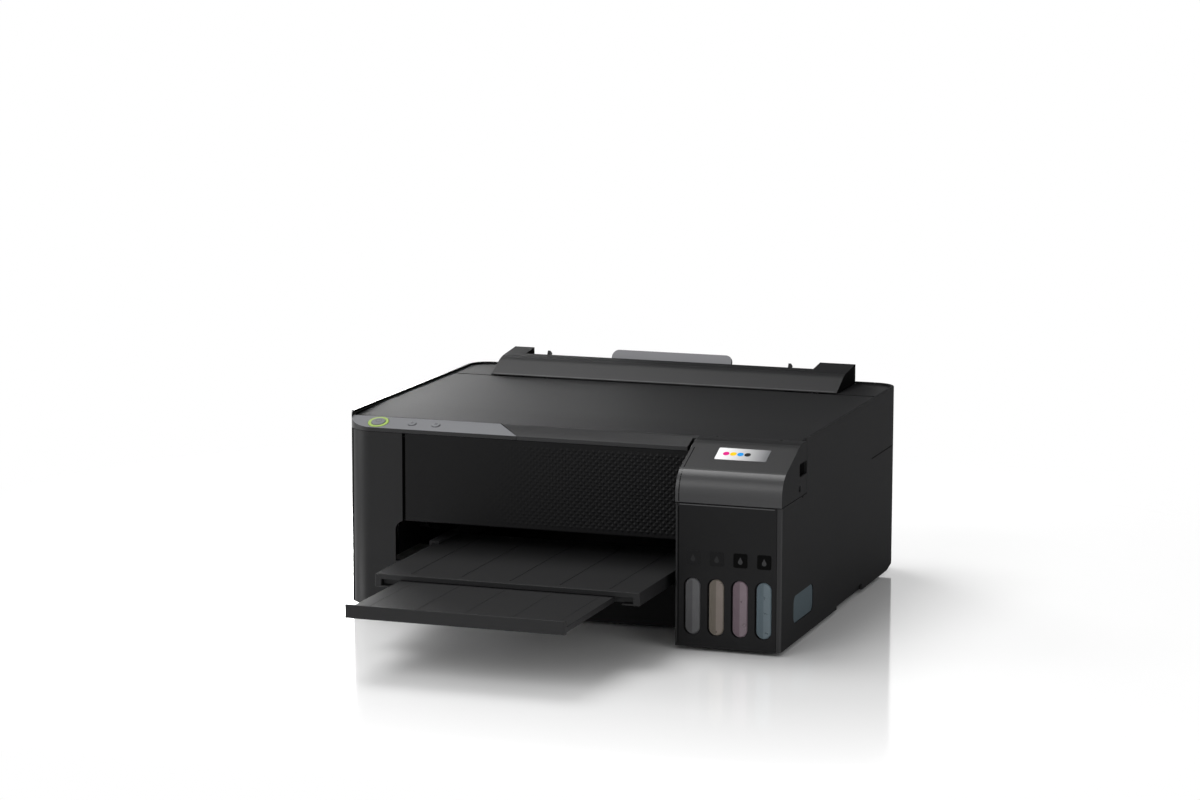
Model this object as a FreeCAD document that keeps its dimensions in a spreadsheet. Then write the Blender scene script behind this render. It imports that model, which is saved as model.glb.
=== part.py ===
import FreeCAD, Part
import math
import os
import re
import Sketcher

# Inkjet printer with a front tank unit, in millimetres: +Z up, the front looks along -Y.
# The origin is under the middle of the printer as it stands with its output tray pulled out.

V = FreeCAD.Vector
WORD = re.compile(r"[A-Za-z_]\w*")
SIDES = {-1: "left", 1: "right"}
INKS = ("black", "yellow", "magenta", "cyan")

# Points closer than this count as one point
NEAR = 0.01

# Rows of like pieces
EJECT_TYRES = 6
PINCH_ROLLERS = 4
PLATEN_RIBS = 12

# Involute teeth: pressure angle in degrees, and root depth in modules
PRESSURE_ANGLE = 20.0
DEDENDUM = 1.25

# Chips on the main board as shares of its width and height: left, low, width, height
CHIPS = ((0.12, 0.3, 0.3, 0.22), (0.55, 0.55, 0.25, 0.2), (0.1, 0.75, 0.7, 0.1))

# Driving dimensions
SIZES = {
    # case
    "body_width": 375.0,
    "body_depth": 347.0,
    "deck_height": 153.0,
    "foot_height": 3.0,
    "foot_radius": 8.0,
    "foot_inset": 28.0,
    "wall": 2.2,
    "panel_gap": 0.5,
    "seat_gap": 0.3,
    "fit_gap": 0.05,
    "rim_width": 4.0,
    "rim_drop": 5.0,
    "rim_rise": 1.7,
    "rim_round": 0.5,
    "column_width": 50.5,
    "corner_radius": 24.0,
    "rear_radius": 18.0,
    "edge_round": 1.8,
    "sill_height": 40.0,
    "lintel_height": 72.4,
    "panel_left_gap": 2.6,
    "slot_notch": 6.0,
    "slot_round": 8.0,
    "heel_run": 30.0,
    "heel_rise": 7.0,
    "grip_setback": 105.5,
    "grip_length": 77.5,
    "grip_rise": 5.5,
    "seam_height": 106.0,
    "seam_length": 85.5,
    "seam_width": 0.6,
    "seam_depth": 0.7,
    "rear_inset": 2.0,
    "rail_width": 11.0,
    "rail_depth": 7.0,
    # bevel, lip and controls
    "bevel_run": 18.0,
    "bevel_rise": 5.8,
    "bevel_drop": 1.9,
    "bevel_fall": 60.0,
    "lip_edge": 3.1,
    "cover_thickness": 2.4,
    "cover_hinge_inset": 63.3,
    "hinge_radius": 3.0,
    "hinge_pin_radius": 1.5,
    "hinge_pin_reach": 2.0,
    "strip_right_front": 146.0,
    "strip_slant": 20.0,
    "lip_right_gap": 7.5,
    "button_run": 9.0,
    "power_button_inset": 27.0,
    "power_button_radius": 5.7,
    "power_ring_radius": 8.2,
    "power_ring_depth": 1.8,
    "small_button_radius": 3.2,
    "ink_button_inset": 55.5,
    "paper_button_inset": 75.5,
    "button_depth": 5.0,
    "button_proud": 0.9,
    # ink tank unit
    "tank_proud": 53.5,
    "tank_width": 83.0,
    "lid_height": 40.6,
    "tank_return": 3.5,
    "tank_hinge_setback": 11.0,
    "tank_slope": 22.0,
    "tank_nose_height": 20.0,
    "tank_nose_round": 20.0,
    "tank_brow_round": 45.0,
    "knuckle_width": 6.0,
    "knuckle_inset": 16.0,
    "tank_left_margin": 5.05,
    "tank_right_margin": 3.95,
    "tank_spacing": 1.3,
    "tank_length": 111.0,
    "tank_skin": 1.4,
    "window_width": 12.3,
    "window_low": 12.5,
    "window_high": 56.0,
    "window_recess": 0.6,
    "side_window_start": 34.5,
    "side_window_length": 55.0,
    "side_window_low": 17.5,
    "side_window_high": 39.0,
    "side_window_round": 6.0,
    "shelf_drop": 6.4,
    "shelf_gap": 1.0,
    "neck_setback": 31.0,
    "neck_radius": 6.5,
    "neck_bore": 4.6,
    "neck_height": 8.0,
    "cap_inset": 1.6,
    "cap_thickness": 4.0,
    "cap_front": 8.0,
    "cap_reach": 25.0,
    "plug_radius": 3.6,
    "plug_depth": 2.5,
    "cap_barrel": 2.2,
    "cap_arm_length": 3.5,
    "cap_pin": 1.0,
    "ear_width": 2.2,
    "latch_slot_low": 15.6,
    "latch_slot_high": 25.6,
    "latch_slot_length": 20.0,
    "catch_start": 46.0,
    "catch_length": 5.7,
    "catch_low": 4.6,
    "catch_high": 8.6,
    # output tray
    "tray_reach": 168.5,
    "paper_shift": 8.25,
    "tray_top": 55.0,
    "tray_thickness": 4.0,
    "tray_height": 10.0,
    "tray_margin": 31.5,
    "tray_length": 165.0,
    "tray_setback": 107.0,
    "tray_rail": 5.0,
    "tray_flange": 1.2,
    "tray_flange_width": 14.0,
    "extension_inset": 20.0,
    "extension_length": 125.0,
    "extension_foot": 14.0,
    "lip_thickness": 3.0,
    "channel_length": 162.0,
    "channel_hook": 42.0,
    "channel_reach": 6.0,
    # rear feeder
    "guard_inset": 37.0,
    "guard_rise": 16.0,
    "guard_brow_rise": 12.2,
    "guard_brow_run": 24.0,
    "guard_brow_round": 34.0,
    "guard_nose_run": 8.2,
    "guard_nose_edge": 0.6,
    "guard_hood_shift": 0.7,
    "guard_hinge_inset": 51.1,
    "guard_hinge_drop": 2.0,
    "guard_lug": 2.4,
    "guard_pin_radius": 1.2,
    "guard_pin_reach": 2.5,
    "guard_left_end": 17.5,
    "guard_right_end": 30.5,
    "guard_notch_inset": 21.5,
    "feed_tilt": 30.0,
    "support_rise": 18.5,
    "support_width": 106.0,
    "support_length": 118.0,
    "support_thickness": 3.0,
    "support_round": 6.0,
    "backrest_overhang": 22.0,
    "backrest_top": 24.0,
    "backrest_length": 98.0,
    "backrest_thickness": 3.0,
    "guide_fence": 2.4,
    "guide_depth": 5.7,
    "guide_top": 7.8,
    "guide_length": 67.0,
    "guide_foot_width": 20.0,
    "guide_foot_length": 45.0,
    "guide_foot_thickness": 1.8,
    "hopper_width": 86.0,
    "hopper_top": 72.0,
    "hopper_length": 44.0,
    "hopper_thickness": 1.7,
    "hopper_pin_radius": 0.8,
    "hopper_ear": 3.0,
    "pickup_down": 100.0,
    "pickup_out": 23.9,
    "pickup_tyre_radius": 16.0,
    "pickup_hub_radius": 12.0,
    "pickup_width": 40.0,
    "pickup_shaft_radius": 3.5,
    "pickup_span": 144.0,
    "pickup_arm": 14.0,
    # frame and carriage
    "sheet": 1.2,
    "cheek_inset": 15.5,
    "cheek_front": 75.0,
    "frame_setback": 178.0,
    "frame_rise": 7.0,
    "frame_headroom": 14.0,
    "flange_depth": 13.0,
    "rod_radius": 4.0,
    "rod_rise": 30.0,
    "rod_setback": 160.0,
    "park_inset": 57.5,
    "carriage_width": 74.0,
    "carriage_setback": 96.0,
    "carriage_depth": 72.0,
    "carriage_rise": 10.0,
    "carriage_height": 40.0,
    "carriage_back": 18.0,
    "head_width": 54.0,
    "head_depth": 40.0,
    "head_rise": 1.8,
    "belt_width": 6.0,
    "belt_thickness": 1.5,
    "belt_stand_off": 2.0,
    "pulley_radius": 6.0,
    "pulley_flange": 1.0,
    "pulley_flange_radius": 8.5,
    "pulley_rise": 44.0,
    "drive_pulley_inset": 37.5,
    "idler_pulley_inset": 27.5,
    "idler_pin_radius": 2.0,
    "clip_width": 20.0,
    "clip_shift": 20.0,
    "clip_jaw": 2.4,
    "motor_radius": 14.0,
    "motor_length": 30.0,
    "motor_shaft_radius": 1.5,
    "strip_height": 7.0,
    "strip_clearance": 2.0,
    "strip_thickness": 0.4,
    "strip_setback": 164.0,
    "tube_radius": 1.6,
    "tube_pitch": 6.0,
    "tube_low": 20.0,
    "tube_clearance": 4.0,
    "tube_rise": 12.0,
    "tube_bend": 6.0,
    "tube_drop": 24.0,
    "tube_nipple": 4.0,
    # paper feed
    "paper_height": 68.0,
    "feed_radius": 5.0,
    "feed_setback": 160.0,
    "gear_module": 0.8,
    "gear_width": 8.0,
    "gear_inset": 37.5,
    "gear_backlash": 0.2,
    "gear_pin_radius": 2.0,
    "feed_teeth": 60.0,
    "idler_teeth": 48.0,
    "eject_teeth": 30.0,
    "pinion_teeth": 15.0,
    "pinion_angle": 30.0,
    "feed_motor_radius": 13.0,
    "feed_motor_length": 26.0,
    "eject_shaft_radius": 3.0,
    "eject_tyre_width": 12.0,
    "pinch_radius": 3.3,
    "pinch_length": 34.0,
    "pinch_bar_depth": 20.0,
    "pinch_bar_height": 2.5,
    "platen_overhang": 13.0,
    "platen_setback": 94.0,
    "platen_depth": 59.0,
    "platen_drop": 2.0,
    "rib_height": 1.5,
    "rib_width": 2.0,
    "star_radius": 4.4,
    "star_width": 1.5,
    "star_bar_height": 3.0,
    "star_bar_depth": 11.0,
    # service station, electronics and fasteners
    "station_inset": 21.5,
    "station_gap": 7.5,
    "station_setback": 95.0,
    "station_depth": 55.0,
    "station_clearance": 0.8,
    "station_cap_width": 40.0,
    "station_cap_depth": 34.0,
    "station_cap_height": 9.0,
    "wiper_width": 26.0,
    "wiper_thickness": 1.5,
    "pad_width": 46.0,
    "pad_depth": 96.0,
    "pad_height": 24.0,
    "pad_setback": 22.0,
    "board_width": 64.0,
    "board_low": 12.0,
    "board_height": 83.0,
    "board_inset": 22.0,
    "board_thickness": 1.6,
    "board_side": 11.5,
    "supply_width": 36.0,
    "supply_depth": 74.0,
    "supply_height": 54.0,
    "supply_side": 12.0,
    "inlet_height": 36.0,
    "inlet_width": 24.0,
    "inlet_tall": 18.0,
    "inlet_socket_width": 16.0,
    "inlet_socket_tall": 10.0,
    "inlet_socket_depth": 10.0,
    "inlet_pin_radius": 1.2,
    "inlet_pin_spacing": 8.6,
    "usb_height": 36.0,
    "usb_width": 12.0,
    "usb_tall": 11.0,
    "usb_shell": 0.8,
    "usb_depth": 13.0,
    "screw_head_radius": 3.2,
    "screw_head_height": 1.4,
    "screw_radius": 1.4,
    "screw_length": 4.6,
    "screw_low": 26.0,
    "screw_spacing": 240.0,
    "screw_rise": 118.0,
}

# Places worked out from the driving dimensions
PLACES = {
    "side_x": "body_width / 2",
    "inner_x": "side_x - wall",
    "rim_x": "side_x - rim_width",
    "rear_y": "(body_depth + tray_reach) / 2",
    "lip_y": "-rear_y",
    "tank_front_y": "rear_y - body_depth",
    "face_y": "tank_front_y + tank_proud",
    "tank_x": "side_x - tank_width",
    "column_x": "column_width - side_x",
    "paper_x": "(column_x + tank_x) / 2 + paper_shift",
    "tray_width": "tank_x - column_x - tray_margin",
    "extension_width": "tray_width - 2 * extension_inset",
    "bevel_y": "face_y + bevel_run",
    "rim_top": "deck_height + rim_rise",
    "bevel_top": "deck_height - bevel_drop",
    "bevel_low": "bevel_top - bevel_rise",
    "panel_top": "bevel_low - lip_edge",
    "bevel_angle": "atan(bevel_rise / bevel_run)",
    "floor_z": "foot_height + wall",
    "corner_x": "side_x - rear_radius",
    "return_x": "corner_x - wall",
    "corner_y": "rear_y - rear_radius",
    "case_y": "face_y + wall + panel_gap",
    "back_y": "rear_y - rear_inset - wall",
    "case_back_y": "back_y - seat_gap",
    "grip_y": "face_y + grip_setback",
    "cover_x": "rim_x - panel_gap",
    "cover_low": "deck_height - cover_thickness",
    "lip_low": "bevel_top - cover_thickness",
    "cover_hinge_y": "rear_y - cover_hinge_inset",
    "cover_hinge_z": "deck_height - hinge_radius",
    "deck_y": "cover_hinge_y + hinge_radius + panel_gap",
    "rail_top": "cover_hinge_z - hinge_radius - panel_gap",
    "strip_right_x": "strip_right_front - side_x",
    "lip_x": "tank_x - lip_right_gap",
    "button_y": "face_y + button_run",
    "button_z": "bevel_low + button_run * tan(bevel_angle)",
    "tank_seam": "deck_height - lid_height",
    "shelf_height": "tank_seam - shelf_drop",
    "tank_top": "shelf_height - shelf_gap",
    "tank_hinge_y": "face_y + tank_hinge_setback",
    "lid_rear_y": "tank_hinge_y + hinge_radius",
    "side_front_y": "lid_rear_y + panel_gap",
    "lid_low": "tank_seam + panel_gap",
    "lid_nose_z": "tank_seam + tank_nose_height",
    "lid_brow_y": "tank_front_y + (deck_height - lid_nose_z) / tan(tank_slope)",
    "tank_pitch": f"(tank_width - tank_left_margin - tank_right_margin) / {len(INKS)}",
    "tank_first": "tank_left_margin + tank_pitch / 2",
    "tank_body_width": "tank_pitch - tank_spacing",
    "cap_width": "tank_body_width - 2 * cap_inset",
    "tank_inner_y": "tank_front_y + wall",
    "tank_body_y": "tank_inner_y + seat_gap",
    "tank_back_y": "tank_body_y + tank_length",
    "tank_low": "floor_z + seat_gap",
    "window_y": "tank_front_y + window_recess",
    "side_window_y": "tank_front_y + side_window_start",
    "neck_y": "tank_front_y + neck_setback",
    "neck_top": "tank_top + neck_height",
    "cap_low": "neck_top + seat_gap",
    "cap_hinge_y": "neck_y - cap_front + cap_reach",
    "cap_hinge_z": "cap_low + cap_barrel",
    "tray_low": "tray_top - tray_height",
    "tray_under": "tray_top - tray_thickness",
    "tray_y": "lip_y + tray_setback",
    "tray_back_y": "tray_y + tray_length",
    "channel_x": "tray_width / 2 + seat_gap",
    "extension_low": "tray_low + tray_flange + seat_gap",
    "extension_high": "tray_under - seat_gap",
    "guard_x": "side_x - guard_inset",
    "guard_height": "deck_height + guard_rise",
    "guard_brow": "deck_height + guard_brow_rise",
    "guard_hinge_y": "rear_y - guard_hinge_inset",
    "guard_hinge_z": "deck_height - guard_hinge_drop",
    "guard_nose_y": "guard_hinge_y - guard_nose_run",
    "guard_low": "deck_height + seat_gap",
    "guard_brow_y": "guard_nose_y + guard_brow_run",
    "guard_rear_y": "rear_y - panel_gap",
    "notch_y": "rear_y - guard_notch_inset",
    "notch_left": "guard_left_end - guard_x",
    "notch_right": "guard_x - guard_right_end",
    "feed_opening": "guard_x + seat_gap",
    "support_top": "deck_height + support_rise",
    "support_y": "rear_y - support_thickness / cos(feed_tilt) - panel_gap",
    "backrest_width": "tray_width + 2 * backrest_overhang",
    "rest_front": "-seat_gap - backrest_thickness",
    "guide_back": "rest_front - seat_gap",
    "pickup_y": "support_y - pickup_out * cos(feed_tilt) - pickup_down * sin(feed_tilt)",
    "pickup_z": "support_top + pickup_out * sin(feed_tilt) - pickup_down * cos(feed_tilt)",
    "hopper_mid": "guide_back - hopper_thickness / 2",
    "hopper_y": "support_y + hopper_mid * cos(feed_tilt) - hopper_top * sin(feed_tilt)",
    "hopper_z": "support_top - hopper_mid * sin(feed_tilt) - hopper_top * cos(feed_tilt)",
    "carriage_low": "paper_height + carriage_rise",
    "carriage_high": "carriage_low + carriage_height",
    "head_low": "paper_height + head_rise",
    "rod_height": "paper_height + rod_rise",
    "frame_low": "paper_height + frame_rise",
    "frame_height": "carriage_high + frame_headroom",
    "pulley_height": "paper_height + pulley_rise",
    "strip_low": "carriage_high + strip_clearance",
    "tube_high": "frame_height + tube_clearance",
    "platen_top": "paper_height - platen_drop",
    "station_height": "head_low - station_clearance - station_cap_height",
    "cheek_x": "side_x - cheek_inset",
    "cheek_y": "face_y + cheek_front",
    "frame_y": "face_y + frame_setback",
    "rod_y": "face_y + rod_setback",
    "park_x": "side_x - park_inset",
    "carriage_y": "face_y + carriage_setback",
    "carriage_back_y": "carriage_y + carriage_depth",
    "belt_back_y": "frame_y - belt_stand_off",
    "belt_y": "belt_back_y - belt_width",
    "belt_inner": "pulley_radius + seat_gap",
    "belt_outer": "belt_inner + belt_thickness",
    "drive_x": "side_x - drive_pulley_inset",
    "idler_x": "idler_pulley_inset - side_x",
    "motor_y": "frame_y + sheet",
    "feed_y": "face_y + feed_setback",
    "feed_z": "paper_height - feed_radius",
    "gear_low_x": "gear_inset - side_x - gear_width / 2",
    "gear_high_x": "gear_low_x + gear_width",
    "idler_gear_y": "feed_y - gear_module * (feed_teeth + idler_teeth) / 2",
    "eject_y": "idler_gear_y - gear_module * (idler_teeth + eject_teeth) / 2",
    "pinion_reach": "gear_module * (feed_teeth + pinion_teeth) / 2",
    "pinion_y": "feed_y + pinion_reach * cos(pinion_angle)",
    "pinion_z": "feed_z - pinion_reach * sin(pinion_angle)",
    "motor_plate_x": "gear_high_x + seat_gap",
    "feed_motor_x": "motor_plate_x + sheet",
    "pinch_y": "feed_y + seat_gap",
    "pinch_z": "paper_height + seat_gap + pinch_radius",
    "pinch_top": "pinch_z + pinch_radius + fit_gap",
    "eject_tyre_pitch": f"tray_width / {EJECT_TYRES}",
    "pinch_pitch": f"tray_width / {PINCH_ROLLERS}",
    "platen_width": "tray_width + 2 * platen_overhang",
    "rib_pitch": f"tray_width / {PLATEN_RIBS - 1}",
    "platen_y": "face_y + platen_setback",
    "star_z": "paper_height + seat_gap + star_radius",
    "station_width": "tank_width - station_inset - station_gap",
    "station_x": "tank_x + station_gap",
    "station_y": "face_y + station_setback",
    "station_mid_y": "station_y + station_depth / 2",
    "board_y": "rear_y - board_inset",
    "board_x": "side_x - board_side - board_width",
    "supply_x": "supply_side - side_x",
    "supply_back_y": "back_y - seat_gap - inlet_socket_depth",
    "inlet_x": "supply_x + supply_width - inlet_width / 2",
    "usb_x": "board_x + board_width / 2",
    "screw_y": "rear_y - rear_inset",
}

PIECES = []

doc = FreeCAD.newDocument("inkjet_printer")
sheet = doc.addObject("Spreadsheet::Sheet", "dims")
for row, (size, value) in enumerate(SIZES.items(), start=1):
    sheet.set(f"A{row}", size)
    sheet.set(f"B{row}", str(value))
    sheet.setAlias(f"B{row}", size)
doc.recompute()


# Expressions over the sheet


def spell(text):
    """Write an expression with every place spelled out in the sheet's own cells."""
    def swap(found):
        word = found.group(0)
        if word in PLACES:
            return "(" + spell(PLACES[word]) + ")"
        if word in SIZES:
            return "dims." + word
        return word
    return WORD.sub(swap, str(text))


def number(text):
    """The present value of an expression."""
    return float(sheet.evalExpression(spell(text)))


def bind(thing, **settings):
    """Bind properties to expressions; double underscores stand for dots in the property path."""
    for path, text in settings.items():
        thing.setExpression(path.replace("__", "."), spell(text))


def place(thing, x, y, z):
    bind(thing, Placement__Base__x=x, Placement__Base__y=y, Placement__Base__z=z)


# Primitives and booleans


def block(name, x, y, z):
    """A box between a low and a high expression on each axis."""
    box = doc.addObject("Part::Box", name)
    bind(
        box, Length=f"({x[1]}) - ({x[0]})", Width=f"({y[1]}) - ({y[0]})", Height=f"({z[1]}) - ({z[0]})"
    )
    place(box, x[0], y[0], z[0])
    return box


def rod(name, along, radius, span, at):
    """A cylinder along X, Y or Z between two expressions, at a point of the other two axes."""
    cylinder = doc.addObject("Part::Cylinder", name)
    turns = {"X": (V(0, 1, 0), 90), "Y": (V(1, 0, 0), -90), "Z": (V(0, 0, 1), 0)}
    cylinder.Placement = FreeCAD.Placement(V(), FreeCAD.Rotation(*turns[along]))
    bind(cylinder, Radius=radius, Height=f"({span[1]}) - ({span[0]})")
    spots = {"X": (span[0], *at), "Y": (at[0], span[0], at[1]), "Z": (*at, span[0])}
    place(cylinder, *spots[along])
    return cylinder



def slab(name, along, corners, span):
    """A body padded along X, Y or Z from a polygon of expressions on the plane across it."""
    roles = {"X": "YZ_Plane", "Y": "XZ_Plane", "Z": "XY_Plane"}
    body = doc.addObject("PartDesign::Body", name)
    plane = next(item for item in body.Origin.OriginFeatures if item.Role == roles[along])
    sketch = body.newObject("Sketcher::SketchObject", name + "_sketch")
    sketch.AttachmentSupport = [(plane, "")]
    sketch.MapMode = "FlatFace"
    spots = [V(number(across), number(up), 0) for across, up in corners]
    count = len(spots)
    for index in range(count):
        sketch.addGeometry(Part.LineSegment(spots[index], spots[(index + 1) % count]), False)
    for index in range(count):
        sketch.addConstraint(Sketcher.Constraint("Coincident", index, 2, (index + 1) % count, 1))
    for index, (across, up) in enumerate(corners):
        for kind, text, value in (
            ("DistanceX", across, spots[index].x), ("DistanceY", up, spots[index].y)
        ):
            held = sketch.addConstraint(Sketcher.Constraint(kind, -1, 1, index, 1, value))
            sketch.setExpression(f"Constraints[{held}]", spell(text))
    start = f"-({span[1]})" if along == "Y" else span[0]
    bind(sketch, AttachmentOffset__Base__z=start)
    pad = body.newObject("PartDesign::Pad", name + "_pad")
    pad.Profile = sketch
    bind(pad, Length=f"({span[1]}) - ({span[0]})")
    return body


def join(name, *pieces):
    """One solid from overlapping pieces."""
    union = doc.addObject("Part::MultiFuse", name)
    union.Shapes = list(pieces)
    union.Refine = True
    return union


def trim(name, base, *tools):
    """A piece with tools cut from it."""
    cut = doc.addObject("Part::Cut", name)
    cut.Base = base
    cut.Tool = tools[0] if len(tools) == 1 else join(name + "_tools", *tools)
    cut.Refine = True
    return cut


def overlap(name, base, tool):
    common = doc.addObject("Part::Common", name)
    common.Base = base
    common.Tool = tool
    return common


def group(name, *pieces):
    """Separate solids kept together."""
    compound = doc.addObject("Part::Compound", name)
    compound.Links = list(pieces)
    return compound


def soften(name, base, radius, along, *spots):
    """Round the edges along an axis that stand at the given points of the other two axes."""
    doc.recompute()
    axis = "XYZ".index(along)
    others = [index for index in range(3) if index != axis]
    wanted = [[number(value) for value in spot] for spot in spots]
    picked = []
    for position, edge in enumerate(base.Shape.Edges, start=1):
        ends = [vertex.Point for vertex in edge.Vertexes]
        if len(ends) != 2:
            continue
        for spot in wanted:
            near = [
                abs(end[other] - value) < NEAR for end in ends for other, value in zip(others, spot)
            ]
            if all(near):
                picked.append((position, number(radius), number(radius)))
    if not picked:
        raise RuntimeError(f"{name}: no edge to round")
    fillet = doc.addObject("Part::Fillet", name)
    fillet.Base = base
    fillet.Edges = picked
    return fillet


def soften_between(name, base, radius, *points):
    """Round the edges, straight or curved, whose two ends are both among the given points."""
    doc.recompute()
    wanted = [V(*[number(value) for value in point]) for point in points]
    picked = []
    for position, edge in enumerate(base.Shape.Edges, start=1):
        ends = [vertex.Point for vertex in edge.Vertexes]
        known = [any((end - point).Length < NEAR for point in wanted) for end in ends]
        if len(ends) == 2 and all(known):
            picked.append((position, number(radius), number(radius)))
    if not picked:
        raise RuntimeError(f"{name}: no edge to round")
    fillet = doc.addObject("Part::Fillet", name)
    fillet.Base = base
    fillet.Edges = picked
    return fillet


def lean(thing, x, depth, length):
    """Place a piece in the feeder's leaning frame: depth runs back from the support, length up it."""
    thing.Placement = FreeCAD.Placement(V(), FreeCAD.Rotation(V(1, 0, 0), -number("feed_tilt")))
    bind(thing, Placement__Rotation__Angle="-feed_tilt")
    place(
        thing,
        x,
        f"support_y + ({depth}) * cos(feed_tilt) + ({length}) * sin(feed_tilt)",
        f"support_top - ({depth}) * sin(feed_tilt) + ({length}) * cos(feed_tilt)",
    )
    return thing


def leaning_block(name, x, depth, length):
    box = doc.addObject("Part::Box", name)
    bind(
        box,
        Length=f"({x[1]}) - ({x[0]})",
        Width=f"({depth[1]}) - ({depth[0]})",
        Height=f"({length[1]}) - ({length[0]})",
    )
    return lean(box, x[0], depth[0], length[0])


def bevel_rod(name, x, radius, span):
    """A cylinder square to the bevel, between two heights above its surface."""
    cylinder = doc.addObject("Part::Cylinder", name)
    cylinder.Placement = FreeCAD.Placement(V(), FreeCAD.Rotation(V(1, 0, 0), number("bevel_angle")))
    bind(
        cylinder,
        Placement__Rotation__Angle="bevel_angle",
        Radius=radius,
        Height=f"({span[1]}) - ({span[0]})",
    )
    place(
        cylinder,
        x,
        f"button_y - ({span[0]}) * sin(bevel_angle)",
        f"button_z + ({span[0]}) * cos(bevel_angle)",
    )
    return cylinder


def stadium(name, along, width, ends, span, at):
    """A bar with round ends along Z, or along X for any other axis given, and its thickness along Y."""
    half = f"({width}) / 2"
    if along == "Z":
        flat = block(name + "_flat", (f"{at} - {half}", f"{at} + {half}"), span, ends)
        caps = [rod(f"{name}_end_{i}", "Y", half, span, (at, end)) for i, end in enumerate(ends)]
    else:
        flat = block(name + "_flat", ends, span, (f"{at} - {half}", f"{at} + {half}"))
        caps = [rod(f"{name}_end_{i}", "Y", half, span, (end, at)) for i, end in enumerate(ends)]
    return join(name, flat, *caps)


def mirrored(side, low, high):
    """A span on one side of the middle plane, given as distances from it."""
    return (f"-({high})", f"-({low})") if side < 0 else (low, high)


def keep(piece, label):
    piece.Label = label
    PIECES.append(piece)


# Case


def case_side(side, blank):
    """The cuts that both side panels share: heel, hand-hold, rear seam and cover hinge bore."""
    outside = mirrored(side, "inner_x - rim_width", "side_x + wall")
    corner = mirrored(side, "return_x - wall", "side_x + wall")
    label = SIDES[side]
    heel = slab(
        f"{label}_heel", "X",
        [
            ("rear_y - heel_run", "foot_height"),
            ("rear_y - heel_run", "foot_height - wall"),
            ("rear_y + wall", "foot_height - wall"),
            ("rear_y + wall", "foot_height + heel_rise * (heel_run + wall) / heel_run"),
        ],
        corner,
    )
    grip = block(
        f"{label}_grip",
        outside,
        ("grip_y", "grip_y + grip_length"),
        ("foot_height - wall", "foot_height + grip_rise"),
    )
    seam = block(
        f"{label}_seam",
        mirrored(side, "side_x - seam_depth", "side_x + wall"),
        ("rear_y - seam_length", "rear_y + wall"),
        ("seam_height - seam_width / 2", "seam_height + seam_width / 2"),
    )
    bore = rod(
        f"{label}_hinge_bore",
        "X",
        "hinge_pin_radius + fit_gap",
        mirrored(side, "rim_x - wall", "cover_x + hinge_pin_reach + seat_gap"),
        ("cover_hinge_y", "cover_hinge_z"),
    )
    return trim(f"{label}_side_panel", blank, heel, grip, seam, bore)


def rear_corner(name, side, inset, z, start="return_x"):
    """The quarter round at a rear corner, drawn in by an inset, with a short run of each wall."""
    x = mirrored(side, start, f"side_x - ({inset})")
    quarter = block(name + "_block", x, ("corner_y - wall", f"rear_y - ({inset})"), z)
    edge = (f"{side} * (side_x - ({inset}))", f"rear_y - ({inset})")
    return soften(name, quarter, f"rear_radius - ({inset})", "Z", edge)


def corner_waste(name, side, inset, z):
    """What stands outside a rear corner's round."""
    x = mirrored(side, "return_x - panel_gap", "side_x + wall")
    square = block(name + "_square", x, ("corner_y", "rear_y + wall"), z)
    return trim(name, square, rear_corner(name + "_round", side, inset, z, "return_x - wall"))


def rim(side, front):
    """The raised edge beside the deck, with the rear corner's wall and the rim that runs round it."""
    label = SIDES[side]
    tall = ("foot_height", "rim_top")
    top = ("deck_height - rim_drop", "deck_height")
    straight = block(
        f"{label}_rim", mirrored(side, "rim_x", "side_x - wall / 2"), (front, "corner_y"), top
    )
    wall_ring = trim(
        f"{label}_corner",
        rear_corner(f"{label}_corner_out", side, "0", tall),
        rear_corner(f"{label}_corner_in", side, "wall", ("0", "deck_height + wall"), "return_x - wall"),
    )
    rim_ring = trim(
        f"{label}_corner_rim",
        rear_corner(f"{label}_rim_out", side, "0", top),
        rear_corner(
            f"{label}_rim_in", side, "rim_width", ("0", "deck_height + wall"), "return_x - wall"
        ),
    )
    return straight, wall_ring, rim_ring


def rim_points(side, front):
    """The ends of the runs that make up a side panel's top outer edge."""
    return [
        (f"{side} * side_x", front, "rim_top"),
        (f"{side} * side_x", "corner_y", "rim_top"),
        (f"{side} * corner_x", "rear_y", "rim_top"),
        (f"{side} * return_x", "rear_y", "rim_top"),
    ]


def left_side_panel():
    outer = block(
        "left_outer", ("-side_x", "column_x"), ("face_y", "corner_y"), ("foot_height", "rim_top")
    )
    outer = soften("left_outer_round", outer, "corner_radius", "Z", ("-side_x", "face_y"))
    inner = block(
        "left_inner",
        ("-inner_x", "column_x + wall"),
        ("face_y + wall", "corner_y + wall"),
        ("0", "deck_height + wall"),
    )
    inner = soften(
        "left_inner_round", inner, "corner_radius - wall", "Z", ("-inner_x", "face_y + wall")
    )
    seat = block(
        "left_strip_seat",
        ("-side_x - wall", "column_x + wall"),
        ("face_y - wall", "bevel_y + panel_gap"),
        ("panel_top - seat_gap", "deck_height + wall"),
    )
    notch = block(
        "left_slot_notch",
        ("column_x - slot_notch", "column_x + 2 * slot_round"),
        ("face_y - wall", "face_y + 2 * wall"),
        ("sill_height", "lintel_height"),
    )
    corner = ("column_x - slot_notch", "lintel_height")
    notch = soften("left_slot_round", notch, "slot_round", "Y", corner)
    front = "bevel_y + panel_gap"
    shell = join("left_shell", trim("left_wall", outer, inner, seat, notch), *rim(-1, front))
    shell = soften_between("left_top_round", shell, "rim_round", *rim_points(-1, front))
    keep(case_side(-1, shell), "left_side_panel")


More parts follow.
